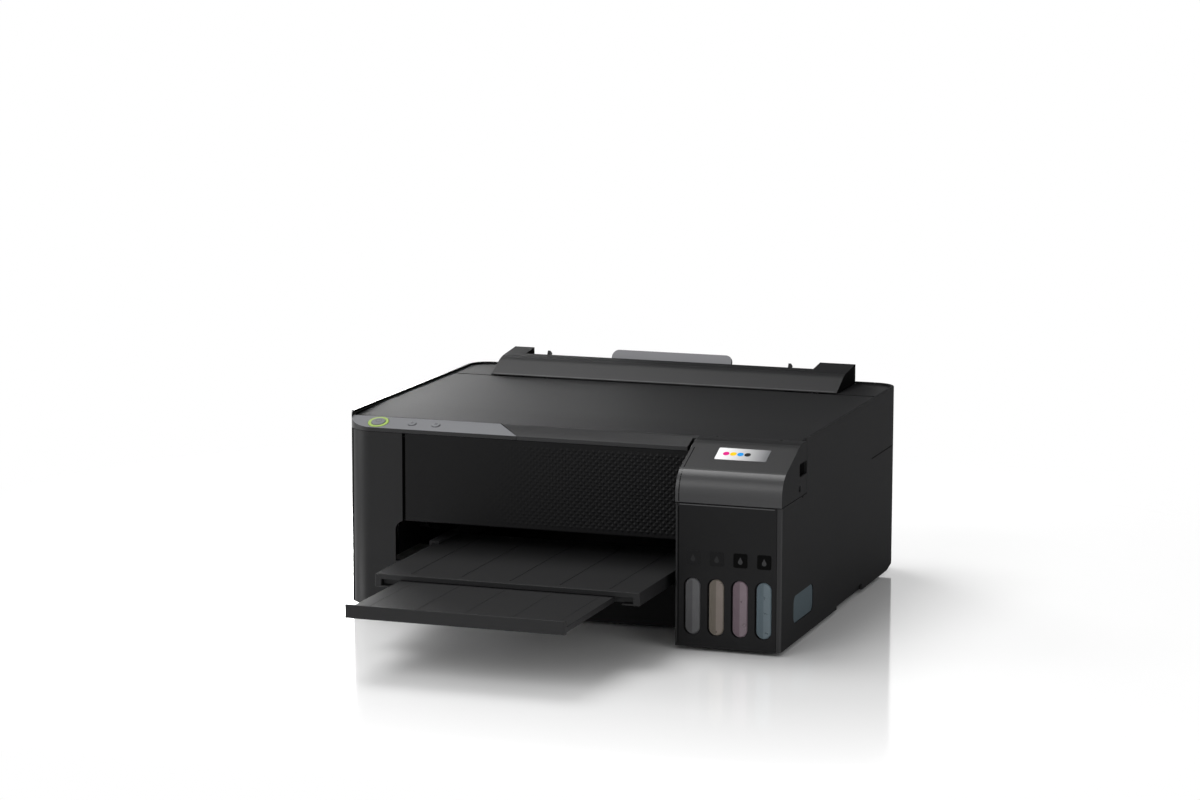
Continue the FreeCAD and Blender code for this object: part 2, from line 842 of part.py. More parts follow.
def right_side_panel():
    plate = slab(
        "right_plate", "X",
        [
            ("tank_front_y", "foot_height"),
            ("corner_y", "foot_height"),
            ("corner_y", "rim_top"),
            ("side_front_y", "rim_top"),
            ("side_front_y", "tank_seam"),
            ("tank_front_y", "tank_seam"),
        ],
        ("inner_x", "side_x"),
    )
    turn = block(
        "right_return",
        ("side_x - tank_return", "side_x"),
        ("tank_front_y", "tank_inner_y"),
        ("foot_height", "tank_seam"),
    )
    front = "side_front_y"
    shell = join("right_shell", plate, turn, *rim(1, front))
    shell = soften("right_front_round", shell, "edge_round", "Z", ("side_x", "tank_front_y"))
    shell = soften_between("right_top_round", shell, "rim_round", *rim_points(1, front))
    window = side_window("right_window", ("inner_x - wall", "side_x + wall"), "0")
    keep(case_side(1, trim("right_blank", shell, window)), "right_side_panel")


def side_window(name, x, inset):
    """The rounded window in the right side, or the boss that fills it, drawn in by an inset."""
    low = (f"side_window_y + {inset}", f"side_window_low + {inset}")
    high = (f"side_window_y + side_window_length - {inset}", f"side_window_high - {inset}")
    pane = block(name + "_pane", x, (low[0], high[0]), (low[1], high[1]))
    corners = [(y, z) for y in (low[0], high[0]) for z in (low[1], high[1])]
    return soften(name, pane, f"side_window_round - {inset}", "X", *corners)


def screw_places():
    for side in SIDES:
        for rise in ("0", "screw_rise"):
            yield f"{side} * screw_spacing / 2", f"screw_low + {rise}"


def screw_bores(name, y):
    return [
        rod(f"{name}_bore_{i}", "Y", "screw_radius + fit_gap", y, spot)
        for i, spot in enumerate(screw_places())
    ]


def rear_panel():
    plate = block(
        "rear_plate",
        ("panel_gap - return_x", "return_x - panel_gap"),
        ("back_y", "screw_y"),
        ("foot_height + heel_rise", "deck_height - wall - panel_gap"),
    )
    through = ("back_y - wall", "rear_y")
    keep(
        trim("rear_panel", plate, *socket_ways("rear", through), *screw_bores("rear", through)),
        "rear_panel",
    )


def socket_ways(name, y):
    """Openings that let the two connectors through a wall."""
    return [
        block(
            f"{name}_{kind}_way",
            (f"{kind}_x - {kind}_width / 2 - seat_gap", f"{kind}_x + {kind}_width / 2 + seat_gap"),
            y,
            (
                f"{kind}_height - {kind}_tall / 2 - seat_gap",
                f"{kind}_height + {kind}_tall / 2 + seat_gap",
            ),
        )
        for kind in ("inlet", "usb")
    ]


def lower_case():
    half = "inner_x - panel_gap"
    outer = block(
        "lower_outer", (f"-({half})", half), ("case_y", "case_back_y"), ("foot_height", "sill_height")
    )
    corner = (f"-({half})", "case_y")
    outer = soften("lower_outer_round", outer, "corner_radius - wall - panel_gap", "Z", corner)
    corners = [(f"{side} * ({half})", "case_back_y") for side in SIDES]
    outer = soften("lower_outer_rear", outer, "rear_radius - wall - panel_gap", "Z", *corners)
    inner = block(
        "lower_inner",
        (f"-({half} - wall)", f"{half} - wall"),
        ("case_y + wall", "case_back_y - wall"),
        ("floor_z", "sill_height + wall"),
    )
    corner = (f"-({half} - wall)", "case_y + wall")
    inner = soften("lower_inner_round", inner, "corner_radius - 2 * wall - panel_gap", "Z", corner)
    corners = [(f"{side} * ({half} - wall)", "case_back_y - wall") for side in SIDES]
    inner = soften("lower_inner_rear", inner, "rear_radius - 2 * wall - panel_gap", "Z", *corners)
    tank_way = block(
        "lower_tank_way",
        ("tank_x", "inner_x"),
        ("case_y - wall", "tank_back_y + wall"),
        ("floor_z", "sill_height + wall"),
    )
    heel = slab(
        "lower_heel", "X",
        [
            ("rear_y - heel_run", "foot_height"),
            ("rear_y - heel_run", "foot_height - wall"),
            ("rear_y", "foot_height - wall"),
            ("rear_y", "foot_height + heel_rise"),
        ],
        ("-side_x", "side_x"),
    )
    heel_floor = slab(
        "lower_heel_floor", "X",
        [
            ("rear_y - heel_run", "foot_height"),
            ("rear_y", "foot_height + heel_rise"),
            ("case_back_y", "floor_z + heel_rise"),
            ("rear_y - heel_run", "floor_z"),
        ],
        (f"-({half})", half),
    )
    shell = trim("lower_shell", outer, inner, tank_way, heel)
    parts = [shell, overlap("lower_heel_plate", heel_floor, outer)]
    for side in SIDES:
        label = SIDES[side]
        along = ("case_y", "case_y + channel_length")
        near = f"paper_x + {side} * channel_x"
        far = f"paper_x + {side} * (channel_x + wall)"
        lap = f"paper_x + {side} * (channel_x - channel_reach)"
        wall_x = (near, far) if side > 0 else (far, near)
        lap_x = (lap, far) if side > 0 else (far, lap)
        parts.append(
            block(f"channel_wall_{label}", wall_x, along, ("foot_height", "tray_top + wall + seat_gap"))
        )
        parts.append(
            block(
                f"channel_ledge_{label}",
                lap_x,
                along,
                ("tray_low - wall - seat_gap", "tray_low - seat_gap"),
            )
        )
        parts.append(
            block(
                f"channel_hook_{label}", lap_x, ("case_y", "case_y + channel_hook"),
                ("tray_top + seat_gap", "tray_top + wall + seat_gap"),
            )
        )
    whole = join("lower_whole", *parts)
    through = ("case_back_y - 2 * wall", "rear_y")
    keep(
        trim("lower_case", whole, *socket_ways("lower", through), *screw_bores("lower", through)),
        "lower_case",
    )


def top_frame():
    """The fixed top: two deck ends and a rear strip round the feeder, with the cover's rails."""
    half = "rim_x - panel_gap"
    beam_z = ("rail_top - rail_depth", "rail_top")
    parts = [
        block(
            "deck_rear",
            (f"-({half})", half),
            ("back_y - 2 * wall", "rear_y"),
            ("deck_height - wall", "deck_height"),
        ),
        block(
            "deck_flange",
            (f"-({half})", half),
            ("back_y - 2 * wall", "back_y - seat_gap"),
            ("screw_low + screw_rise - 2 * screw_head_radius", "deck_height"),
        ),
        block(
            "deck_beam",
            (f"-({half})", half),
            ("deck_y", "deck_y + wall"),
            ("rail_top - rail_depth", "rail_top - wall"),
        ),
    ]
    for side in SIDES:
        label = SIDES[side]
        parts.append(
            block(
                f"deck_end_{label}",
                mirrored(side, "feed_opening", half),
                ("deck_y", "rear_y"),
                ("deck_height - wall", "deck_height"),
            )
        )
        parts.append(
            block(
                f"deck_web_{label}",
                mirrored(side, f"{half} - wall", half),
                ("deck_y", "back_y - seat_gap"),
                ("rail_top - rail_depth", "deck_height"),
            )
        )
        parts.append(
            block(
                f"deck_lip_{label}",
                mirrored(side, "feed_opening", "return_x - panel_gap"),
                ("rear_y - wall", "rear_y"),
                ("deck_height - wall", "rim_top"),
            )
        )
        front = "bevel_y + wall" if side < 0 else "side_front_y + 2 * wall"
        parts.append(
            block(
                f"deck_rail_{label}",
                mirrored(side, f"{half} - rail_width", half),
                (front, "deck_y + wall"),
                beam_z,
            )
        )
        ear = block(
            f"guard_ear_{label}",
            mirrored(side, "feed_opening", "feed_opening + guard_pin_reach + wall"),
            ("guard_hinge_y - 2 * guard_lug", "guard_hinge_y + 2 * guard_lug"),
            ("guard_hinge_z - 2 * guard_lug", "deck_height"),
        )
        parts.append(ear)
    whole = join("top_frame_whole", *parts)
    bores = [
        rod(
            f"guard_bore_{side}",
            "X",
            "guard_pin_radius + fit_gap",
            mirrored(side, "guard_x - wall", "guard_x + guard_pin_reach + seat_gap"),
            ("guard_hinge_y", "guard_hinge_z"),
        )
        for side in SIDES
    ]
    bores += screw_bores("deck", ("back_y - 3 * wall", "rear_y"))
    tall = ("0", "deck_height + wall")
    inset = "rim_width + panel_gap"
    waste = [corner_waste(f"deck_corner_{SIDES[side]}", side, inset, tall) for side in SIDES]
    keep(trim("top_frame", whole, *bores, *waste), "top_frame")


def top_cover():
    profile = [
        ("face_y", "panel_top"),
        ("face_y", "bevel_low"),
        ("bevel_y", "bevel_top"),
        ("bevel_y + bevel_fall", "deck_height"),
        ("cover_hinge_y", "deck_height"),
        ("cover_hinge_y", "cover_low"),
        ("bevel_y + bevel_fall", "cover_low"),
        ("bevel_y + cover_thickness / 2", "lip_low"),
        ("face_y + cover_thickness / tan(bevel_angle) / 2", "panel_top"),
    ]
    plate = slab("cover_plate", "X", profile, ("-cover_x", "cover_x"))
    barrel = rod(
        "cover_barrel", "X", "hinge_radius", ("-cover_x", "cover_x"), ("cover_hinge_y", "cover_hinge_z")
    )
    parts = [plate, barrel]
    for side in SIDES:
        front = "bevel_y + 2 * wall" if side < 0 else "side_front_y + 2 * wall"
        parts.append(
            slab(
                f"cover_skirt_{SIDES[side]}",
                "X",
                [
                    (front, "rail_top + seat_gap"),
                    (front, "bevel_top - wall / 2"),
                    ("bevel_y + bevel_fall", "deck_height - wall / 2"),
                    ("cover_hinge_y", "deck_height - wall / 2"),
                    ("cover_hinge_y", "rail_top + seat_gap"),
                ],
                mirrored(side, "cover_x - wall", "cover_x"),
            )
        )
        parts.append(
            rod(
                f"cover_pin_{side}",
                "X",
                "hinge_pin_radius",
                mirrored(side, "cover_x - wall", "cover_x + hinge_pin_reach"),
                ("cover_hinge_y", "cover_hinge_z"),
            )
        )
    whole = join("cover_whole", *parts)
    strip_way = slab(
        "cover_strip_way", "Z",
        [
            ("-side_x", "face_y - wall"),
            ("strip_right_x + panel_gap", "face_y - wall"),
            ("strip_right_x + panel_gap", "face_y"),
            ("strip_right_x - strip_slant + panel_gap", "bevel_y + panel_gap"),
            ("-side_x", "bevel_y + panel_gap"),
        ],
        ("panel_top - wall", "deck_height + wall"),
    )
    tank_way = block(
        "cover_tank_way",
        ("lip_x", "side_x"),
        ("face_y - wall", "side_front_y"),
        ("panel_top - wall", "deck_height + wall"),
    )
    keep(trim("top_cover", whole, strip_way, tank_way), "top_cover")


def front_panel():
    x = ("column_x + panel_left_gap", "tank_x - panel_gap")
    face = block(
        "panel_face", x, ("face_y", "face_y + wall"), ("lintel_height", "panel_top - seat_gap")
    )
    foot = block(
        "panel_foot", x, ("face_y", "face_y + bevel_run"), ("lintel_height", "lintel_height + wall")
    )
    shelf = slab(
        "panel_shelf", "X",
        [
            ("face_y", "panel_top - seat_gap"),
            ("face_y", "panel_top - seat_gap - wall"),
            ("bevel_y", "lip_low - 2 * wall - seat_gap"),
            ("bevel_y", "lip_low - wall - seat_gap"),
            ("face_y + 2 * wall", "panel_top - seat_gap"),
        ],
        ("strip_right_x + panel_gap", "tank_x - panel_gap"),
    )
    inside_y = "face_y + wall + seat_gap"
    tongue_z = ("lintel_height", "panel_top - seat_gap - wall")
    tongue = block(
        "panel_tongue",
        ("column_x - 2 * wall", f"{x[0]} + wall"),
        (inside_y, f"{inside_y} + wall"),
        tongue_z,
    )
    joggle = block(
        "panel_joggle", (x[0], f"{x[0]} + wall"), ("face_y + wall / 2", f"{inside_y} + wall"), tongue_z
    )
    whole = join("panel_whole", face, foot, shelf, tongue, joggle)
    keep(
        soften("front_panel", whole, "edge_round / 2", "X", ("face_y", "lintel_height")), "front_panel"
    )


# Controls


def control_panel():
    x = ("-side_x", "strip_right_x + wall")
    wedge = slab(
        "strip_wedge",
        "X",
        [
            ("face_y", "panel_top"),
            ("face_y", "bevel_low"),
            ("bevel_y", "bevel_top"),
            ("bevel_y", "panel_top"),
        ],
        x,
    )
    cheek = slab(
        "strip_cheek",
        "X",
        [
            ("face_y", "panel_top"),
            ("face_y", "bevel_low"),
            ("bevel_y", "rim_top"),
            ("bevel_y", "panel_top"),
        ],
        ("-side_x", "wall - side_x"),
    )
    plan = slab(
        "strip_plan", "Z",
        [
            ("-side_x", "face_y"),
            ("strip_right_x", "face_y"),
            ("strip_right_x - strip_slant", "bevel_y"),
            ("strip_right_x - strip_slant", "bevel_y + corner_radius"),
            ("-side_x", "bevel_y + corner_radius"),
        ],
        ("panel_top - wall", "deck_height + wall"),
    )
    plan = soften("strip_plan_round", plan, "corner_radius", "Z", ("-side_x", "face_y"))
    under = "cover_thickness / cos(bevel_angle)"
    hollow = slab(
        "strip_hollow", "X",
        [
            ("face_y + wall", "panel_top - wall"),
            ("face_y + wall", f"bevel_low + wall * tan(bevel_angle) - {under}"),
            ("bevel_y + wall", f"bevel_top + wall * tan(bevel_angle) - {under}"),
            ("bevel_y + wall", "panel_top - wall"),
        ],
        x,
    )
    room = block(
        "strip_room",
        ("-inner_x", "side_x"),
        ("face_y + wall", "bevel_y + corner_radius"),
        ("0", "deck_height"),
    )
    room = soften("strip_room_round", room, "corner_radius - wall", "Z", ("-inner_x", "face_y + wall"))
    outside = overlap("strip_outside", join("strip_solid", wedge, cheek), plan)
    blank = trim("strip_blank", outside, overlap("strip_inside", hollow, room))
    through = ("-2 * button_depth", "button_depth")
    holes = [
        bevel_rod("ring_hole", "power_button_inset - side_x", "power_ring_radius + seat_gap", through),
        bevel_rod("ink_hole", "ink_button_inset - side_x", "small_button_radius + seat_gap", through),
        bevel_rod(
            "paper_hole", "paper_button_inset - side_x", "small_button_radius + seat_gap", through
        ),
    ]
    keep(trim("control_panel", blank, *holes), "control_panel")


def buttons():
    depth = ("-power_ring_depth", "seat_gap")
    ring = bevel_rod("ring_disc", "power_button_inset - side_x", "power_ring_radius", depth)
    core = bevel_rod(
        "ring_core",
        "power_button_inset - side_x",
        "power_button_radius + seat_gap",
        ("-button_depth", "button_depth"),
    )
    keep(trim("power_ring", ring, core), "power_ring")
    span = ("-button_depth", "button_proud")
    keep(
        bevel_rod("power_button", "power_button_inset - side_x", "power_button_radius", span),
        "power_button",
    )
    keep(
        bevel_rod("ink_button", "ink_button_inset - side_x", "small_button_radius", span), "ink_button"
    )
    keep(
        bevel_rod("paper_button", "paper_button_inset - side_x", "small_button_radius", span),
        "paper_button",
    )


# Ink tank unit


def tank_middle(index):
    return f"tank_x + tank_first + {index} * tank_pitch"


def tank_housing():
    right = "side_x - tank_return - seat_gap"
    front = block(
        "housing_front",
        ("tank_x", right),
        ("tank_front_y", "tank_inner_y"),
        ("foot_height", "tank_seam"),
    )
    left = block(
        "housing_left",
        ("tank_x", "tank_x + wall"),
        ("tank_front_y", "case_y - seat_gap"),
        ("foot_height", "tank_seam"),
    )
    floor = block(
        "housing_floor",
        ("tank_x", right),
        ("tank_inner_y - wall / 2", "case_y - seat_gap"),
        ("foot_height", "floor_z"),
    )
    shelf = block(
        "housing_shelf",
        ("tank_x", right),
        ("tank_inner_y - wall / 2", "side_front_y + wall"),
        ("shelf_height", "shelf_height + wall"),
    )
    back = block(
        "housing_back",
        ("tank_x + wall + seat_gap", "inner_x - seat_gap"),
        ("side_front_y + seat_gap", "side_front_y + seat_gap + wall"),
        ("shelf_height", "lip_low - wall"),
    )
    parts = [front, left, floor, shelf, back]
    for index, side in enumerate(SIDES):
        middle = knuckle_middle(side)
        x = (f"{middle} - knuckle_width / 2 + seat_gap", f"{middle} + knuckle_width / 2 - seat_gap")
        parts.append(
            block(
                f"knuckle_arm_{index}",
                x,
                ("tank_hinge_y - hinge_radius / 2", "side_front_y + seat_gap + wall"),
                ("cover_hinge_z - hinge_radius - 2 * wall", "lip_low - wall"),
            )
        )
        parts.append(
            block(
                f"knuckle_post_{index}",
                x,
                ("tank_hinge_y - hinge_radius / 2", "tank_hinge_y + hinge_radius / 2"),
                ("cover_hinge_z - hinge_radius - wall", "cover_hinge_z"),
            )
        )
        parts.append(rod(f"knuckle_{index}", "X", "hinge_radius", x, ("tank_hinge_y", "cover_hinge_z")))
        parts.append(
            rod(
                f"knuckle_pin_{index}",
                "X",
                "hinge_pin_radius",
                (f"{middle} - knuckle_width", f"{middle} + knuckle_width"),
                ("tank_hinge_y", "cover_hinge_z"),
            )
        )
    whole = join("housing_whole", *parts)
    whole = soften("housing_round", whole, "edge_round", "Z", ("tank_x", "tank_front_y"))
    cuts = []
    for index, ink in enumerate(INKS):
        middle = tank_middle(index)
        cuts.append(
            tank_window(
                f"housing_window_{ink}", middle, "0", ("tank_front_y - wall", "tank_inner_y + wall")
            )
        )
        cuts.append(
            block(
                f"housing_neck_{ink}",
                (f"{middle} - cap_width / 2 - seat_gap", f"{middle} + cap_width / 2 + seat_gap"),
                ("neck_y - neck_radius - seat_gap", "cap_hinge_y + cap_barrel + seat_gap"),
                ("tank_top", "tank_seam"),
            )
        )
    keep(trim("tank_housing", whole, *cuts), "tank_housing")


def knuckle_middle(side):
    return "tank_x + knuckle_inset" if side < 0 else "side_x - knuckle_inset"


def tank_window(name, middle, inset, y):
    width = f"window_width - 2 * ({inset})"
    return stadium(
        name, "Z", width, ("window_low + window_width / 2", "window_high - window_width / 2"), y, middle
    )


def ink_tank(index, ink):
    name = f"{ink}_ink_tank"
    middle = tank_middle(index)
    half = "tank_body_width / 2"
    shell = block(
        name + "_shell",
        (f"{middle} - {half}", f"{middle} + {half}"),
        ("tank_body_y", "tank_back_y"),
        ("tank_low", "tank_top"),
    )
    window = tank_window(name + "_window", middle, "seat_gap", ("window_y", "tank_body_y + tank_skin"))
    neck = rod(
        name + "_neck", "Z", "neck_radius", ("tank_top - tank_skin", "neck_top"), (middle, "neck_y")
    )
    nipple = rod(
        name + "_nipple",
        "Y",
        "tube_radius",
        ("tank_back_y - tank_skin", "tank_back_y + tube_nipple"),
        (middle, "tube_low"),
    )
    ears_y = ("cap_hinge_y - cap_barrel", "cap_hinge_y + cap_barrel")
    parts = [shell, window, neck, nipple]
    reach = "cap_width / 2 - ear_width"
    for side in SIDES:
        x = mirrored_at(middle, side, reach, "cap_width / 2")
        parts.append(
            block(f"{name}_ear_{side}", x, ears_y, ("tank_top - tank_skin", "cap_hinge_z + cap_barrel"))
        )
    parts.append(
        rod(
            name + "_pin",
            "X",
            "cap_pin",
            (f"{middle} - cap_width / 2", f"{middle} + cap_width / 2"),
            ("cap_hinge_y", "cap_hinge_z"),
        )
    )
    if ink == INKS[-1]:
        parts.append(
            side_window(
                name + "_side_window",
                (f"{middle} + {half} - tank_skin", "side_x - window_recess"),
                "seat_gap",
            )
        )
    hollow = block(
        name + "_hollow",
        (f"{middle} - {half} + tank_skin", f"{middle} + {half} - tank_skin"),
        ("tank_body_y + tank_skin", "tank_back_y - tank_skin"),
        ("tank_low + tank_skin", "tank_top - tank_skin"),
    )
    bore = rod(
        name + "_bore",
        "Z",
        "neck_bore",
        ("tank_top - 2 * tank_skin", "neck_top + tank_skin"),
        (middle, "neck_y"),
    )
    keep(trim(name, join(name + "_whole", *parts), hollow, bore), name)


def mirrored_at(middle, side, low, high):
    """A span beside a middle line, given as distances from it."""
    if side < 0:
        return f"{middle} - ({high})", f"{middle} - ({low})"
    return f"{middle} + ({low})", f"{middle} + ({high})"


def tank_cap(index, ink):
    name = f"{ink}_tank_cap"
    middle = tank_middle(index)
    plate = block(
        name + "_plate",
        (f"{middle} - cap_width / 2", f"{middle} + cap_width / 2"),
        ("neck_y - cap_front", "cap_hinge_y - cap_arm_length"),
        ("cap_low", "cap_low + cap_thickness"),
    )
    reach = "cap_width / 2 - ear_width - seat_gap"
    arm_x = (f"{middle} - ({reach})", f"{middle} + ({reach})")
    arm = block(name + "_arm", arm_x, ("neck_y", "cap_hinge_y"), ("cap_low", "cap_low + cap_thickness"))
    barrel = rod(name + "_barrel", "X", "cap_barrel", arm_x, ("cap_hinge_y", "cap_hinge_z"))
    plug = rod(
        name + "_plug",
        "Z",
        "plug_radius",
        ("neck_top - plug_depth", "cap_low + cap_thickness / 2"),
        (middle, "neck_y"),
    )
    bore = rod(
        name + "_bore",
        "X",
        "cap_pin + fit_gap",
        (f"{middle} - cap_width", f"{middle} + cap_width"),
        ("cap_hinge_y", "cap_hinge_z"),
    )
    whole = join(name + "_whole", plate, arm, barrel, plug)
    rounded = soften(
        name + "_round",
        whole,
        "edge_round",
        "Z",
        *[(f"{middle} + {side} * cap_width / 2", "neck_y - cap_front") for side in SIDES],
    )
    keep(trim(name, rounded, bore), name)


def lid_solid(name, inset, x, low):
    """The tank cover's wedge with its rounded nose and brow, drawn in by an inset."""
    rise = f"({inset}) / cos(tank_slope)"
    nose_y = f"tank_front_y + {inset}"
    nose_z = f"lid_nose_z - {rise} + ({inset}) * tan(tank_slope)"
    top = f"deck_height - ({inset})"
    brow_y = f"lid_brow_y + {rise} / tan(tank_slope) - ({inset}) / tan(tank_slope)"
    corners = [(nose_y, low), (nose_y, nose_z), (brow_y, top)]
    if inset == "0":
        corners += [("tank_hinge_y", top), ("lid_rear_y", "cover_hinge_z"), ("lid_rear_y", low)]
    else:
        corners += [("tank_hinge_y - hinge_radius", top), ("tank_hinge_y - hinge_radius", low)]
    wedge = slab(name + "_wedge", "X", corners, x)
    wedge = soften(name + "_nose", wedge, f"tank_nose_round - ({inset})", "X", (nose_y, nose_z))
    return soften(name, wedge, f"tank_brow_round - ({inset})", "X", (brow_y, top))


def tank_cover():
    outer = lid_solid("lid_outer", "0", ("tank_x", "side_x"), "lid_low")
    barrel = rod(
        "lid_barrel", "X", "hinge_radius", ("tank_x", "side_x"), ("tank_hinge_y", "cover_hinge_z")
    )
    inner = lid_solid("lid_inner", "wall", ("tank_x + wall", "side_x - wall"), "lid_low - wall")
    rear = block(
        "lid_rear",
        ("tank_x + wall", "side_x - wall"),
        ("tank_hinge_y - hinge_radius - wall", "lid_rear_y + wall"),
        ("lid_low - wall", "cover_hinge_z - hinge_radius"),
    )
    slot_y = ("lid_rear_y - latch_slot_length", "lid_rear_y + wall")
    slot = block(
        "lid_latch_slot",
        ("inner_x - wall", "side_x + wall"),
        slot_y,
        ("tank_seam + latch_slot_low", "tank_seam + latch_slot_high"),
    )
    slot = soften(
        "lid_latch_round",
        slot,
        "edge_round",
        "X",
        (slot_y[0], "tank_seam + latch_slot_high"),
        (slot_y[0], "tank_seam + latch_slot_low"),
    )
    catch = block(
        "lid_catch",
        ("inner_x - wall", "side_x + wall"),
        ("tank_front_y + catch_start", "tank_front_y + catch_start + catch_length"),
        ("tank_seam + catch_low", "tank_seam + catch_high"),
    )
    cuts = [inner, rear, slot, catch]
    for index, side in enumerate(SIDES):
        middle = knuckle_middle(side)
        cuts.append(
            block(
                f"lid_knuckle_way_{index}",
                (f"{middle} - knuckle_width / 2", f"{middle} + knuckle_width / 2"),
                ("tank_hinge_y - hinge_radius - panel_gap", "lid_rear_y + wall"),
                ("lid_low", "deck_height + wall"),
            )
        )
        cuts.append(
            rod(
                f"lid_bore_{index}",
                "X",
                "hinge_pin_radius + fit_gap",
                (f"{middle} - knuckle_width - seat_gap", f"{middle} + knuckle_width + seat_gap"),
                ("tank_hinge_y", "cover_hinge_z"),
            )
        )
    keep(trim("tank_cover", join("lid_whole", outer, barrel), *cuts), "tank_cover")


# Output tray


def output_tray():
    y = ("tray_y", "tray_back_y")
    parts = [
        block(
            "tray_plate",
            ("paper_x - tray_width / 2", "paper_x + tray_width / 2"),
            y,
            ("tray_under", "tray_top"),
        )
    ]
    for side in SIDES:
        rail = mirrored_at("paper_x", side, "tray_width / 2 - tray_rail", "tray_width / 2")
        flange = mirrored_at("paper_x", side, "tray_width / 2 - tray_flange_width", "tray_width / 2")
        parts.append(block(f"tray_rail_{side}", rail, y, ("tray_low", "tray_top")))
        parts.append(block(f"tray_flange_{side}", flange, y, ("tray_low", "tray_low + tray_flange")))
    keep(join("output_tray", *parts), "output_tray")


def tray_extension():
    half = "extension_width / 2"
    z = ("extension_low", "extension_high")
    plate = block(
        "extension_plate",
        (f"paper_x - {half}", f"paper_x + {half}"),
        ("lip_y + lip_thickness / 2", "lip_y + extension_length"),
        z,
    )
    wide = "tray_width / 2 - tray_rail - seat_gap"
    foot = block(
        "extension_foot",
        (f"paper_x - ({wide})", f"paper_x + ({wide})"),
        ("lip_y + extension_length - extension_foot", "lip_y + extension_length"),
        z,
    )
    lip = block(
        "extension_lip",
        (f"paper_x - {half}", f"paper_x + {half}"),
        ("lip_y", "lip_y + lip_thickness"),
        ("tray_low", "tray_top"),
    )
    whole = join("extension_whole", plate, foot, lip)
    corners = [(f"paper_x + {side} * {half}", "lip_y") for side in SIDES]
    keep(soften("tray_extension", whole, "edge_round", "Z", *corners), "tray_extension")


# Rear feeder


def feeder_guard():
    def hood(name, inset, x, rear):
        low = "guard_low" if inset == "0" else "guard_low - wall"
        brow_y = "guard_brow_y" if inset == "0" else "guard_brow_y + guard_hood_shift"
        brow_z = f"guard_brow - ({inset})"
        nose_y = f"guard_nose_y + 2 * ({inset})"
        corners = [
            (nose_y, low),
            (nose_y, "guard_low + guard_nose_edge"),
            (brow_y, brow_z),
            (rear, f"guard_height - ({inset})"),
            (rear, low),
        ]
        solid = slab(name + "_wedge", "X", corners, x)
        return soften(name, solid, f"guard_brow_round - ({inset})", "X", (brow_y, brow_z))

    outer = hood("hood_outer", "0", ("-guard_x", "guard_x"), "guard_rear_y")
    parts = [outer]
    for side in SIDES:
        parts.append(
            block(
                f"guard_lug_{side}",
                mirrored(side, "guard_x - wall", "guard_x"),
                ("guard_hinge_y - guard_lug", "guard_hinge_y + guard_lug"),
                ("guard_hinge_z - guard_lug", "guard_low + wall"),
            )
        )
        parts.append(
            rod(
                f"guard_pin_{side}",
                "X",
                "guard_pin_radius",
                mirrored(side, "guard_x - wall", "guard_x + guard_pin_reach"),
                ("guard_hinge_y", "guard_hinge_z"),
            )
        )
    whole = join("guard_whole", *parts)
    cuts = [
        hood("hood_left", "wall", ("-guard_x + wall", "notch_left - wall"), "guard_rear_y - wall"),
        hood("hood_middle", "wall", ("notch_left", "notch_right"), "guard_rear_y - wall"),
        hood("hood_right", "wall", ("notch_right + wall", "guard_x - wall"), "guard_rear_y - wall"),
        block(
            "guard_notch",
            ("notch_left", "notch_right"),
            ("notch_y", "rear_y"),
            ("guard_low - wall", "guard_height + wall"),
        ),
    ]
    keep(trim("feeder_guard", whole, *cuts), "feeder_guard")


def paper_support():
    plate = leaning_block(
        "support_plate",
        ("paper_x - support_width / 2", "paper_x + support_width / 2"),
        ("0", "support_thickness"),
        ("-support_length", "0"),
    )
    doc.recompute()
    high = [
        (position, number("support_round"), number("support_round"))
        for position, edge in enumerate(plate.Shape.Edges, start=1)
        if is_top_corner(edge)
    ]
    rounded = doc.addObject("Part::Fillet", "paper_support")
    rounded.Base = plate
    rounded.Edges = high
    keep(rounded, "paper_support")


def is_top_corner(edge):
    """True for the two short edges at the support's upper corners."""
    ends = [vertex.Point for vertex in edge.Vertexes]
    along_x = abs(ends[0].x - ends[1].x) > NEAR
    lowest = number("support_top - support_thickness * sin(feed_tilt)")
    return not along_x and min(ends[0].z, ends[1].z) > lowest - NEAR


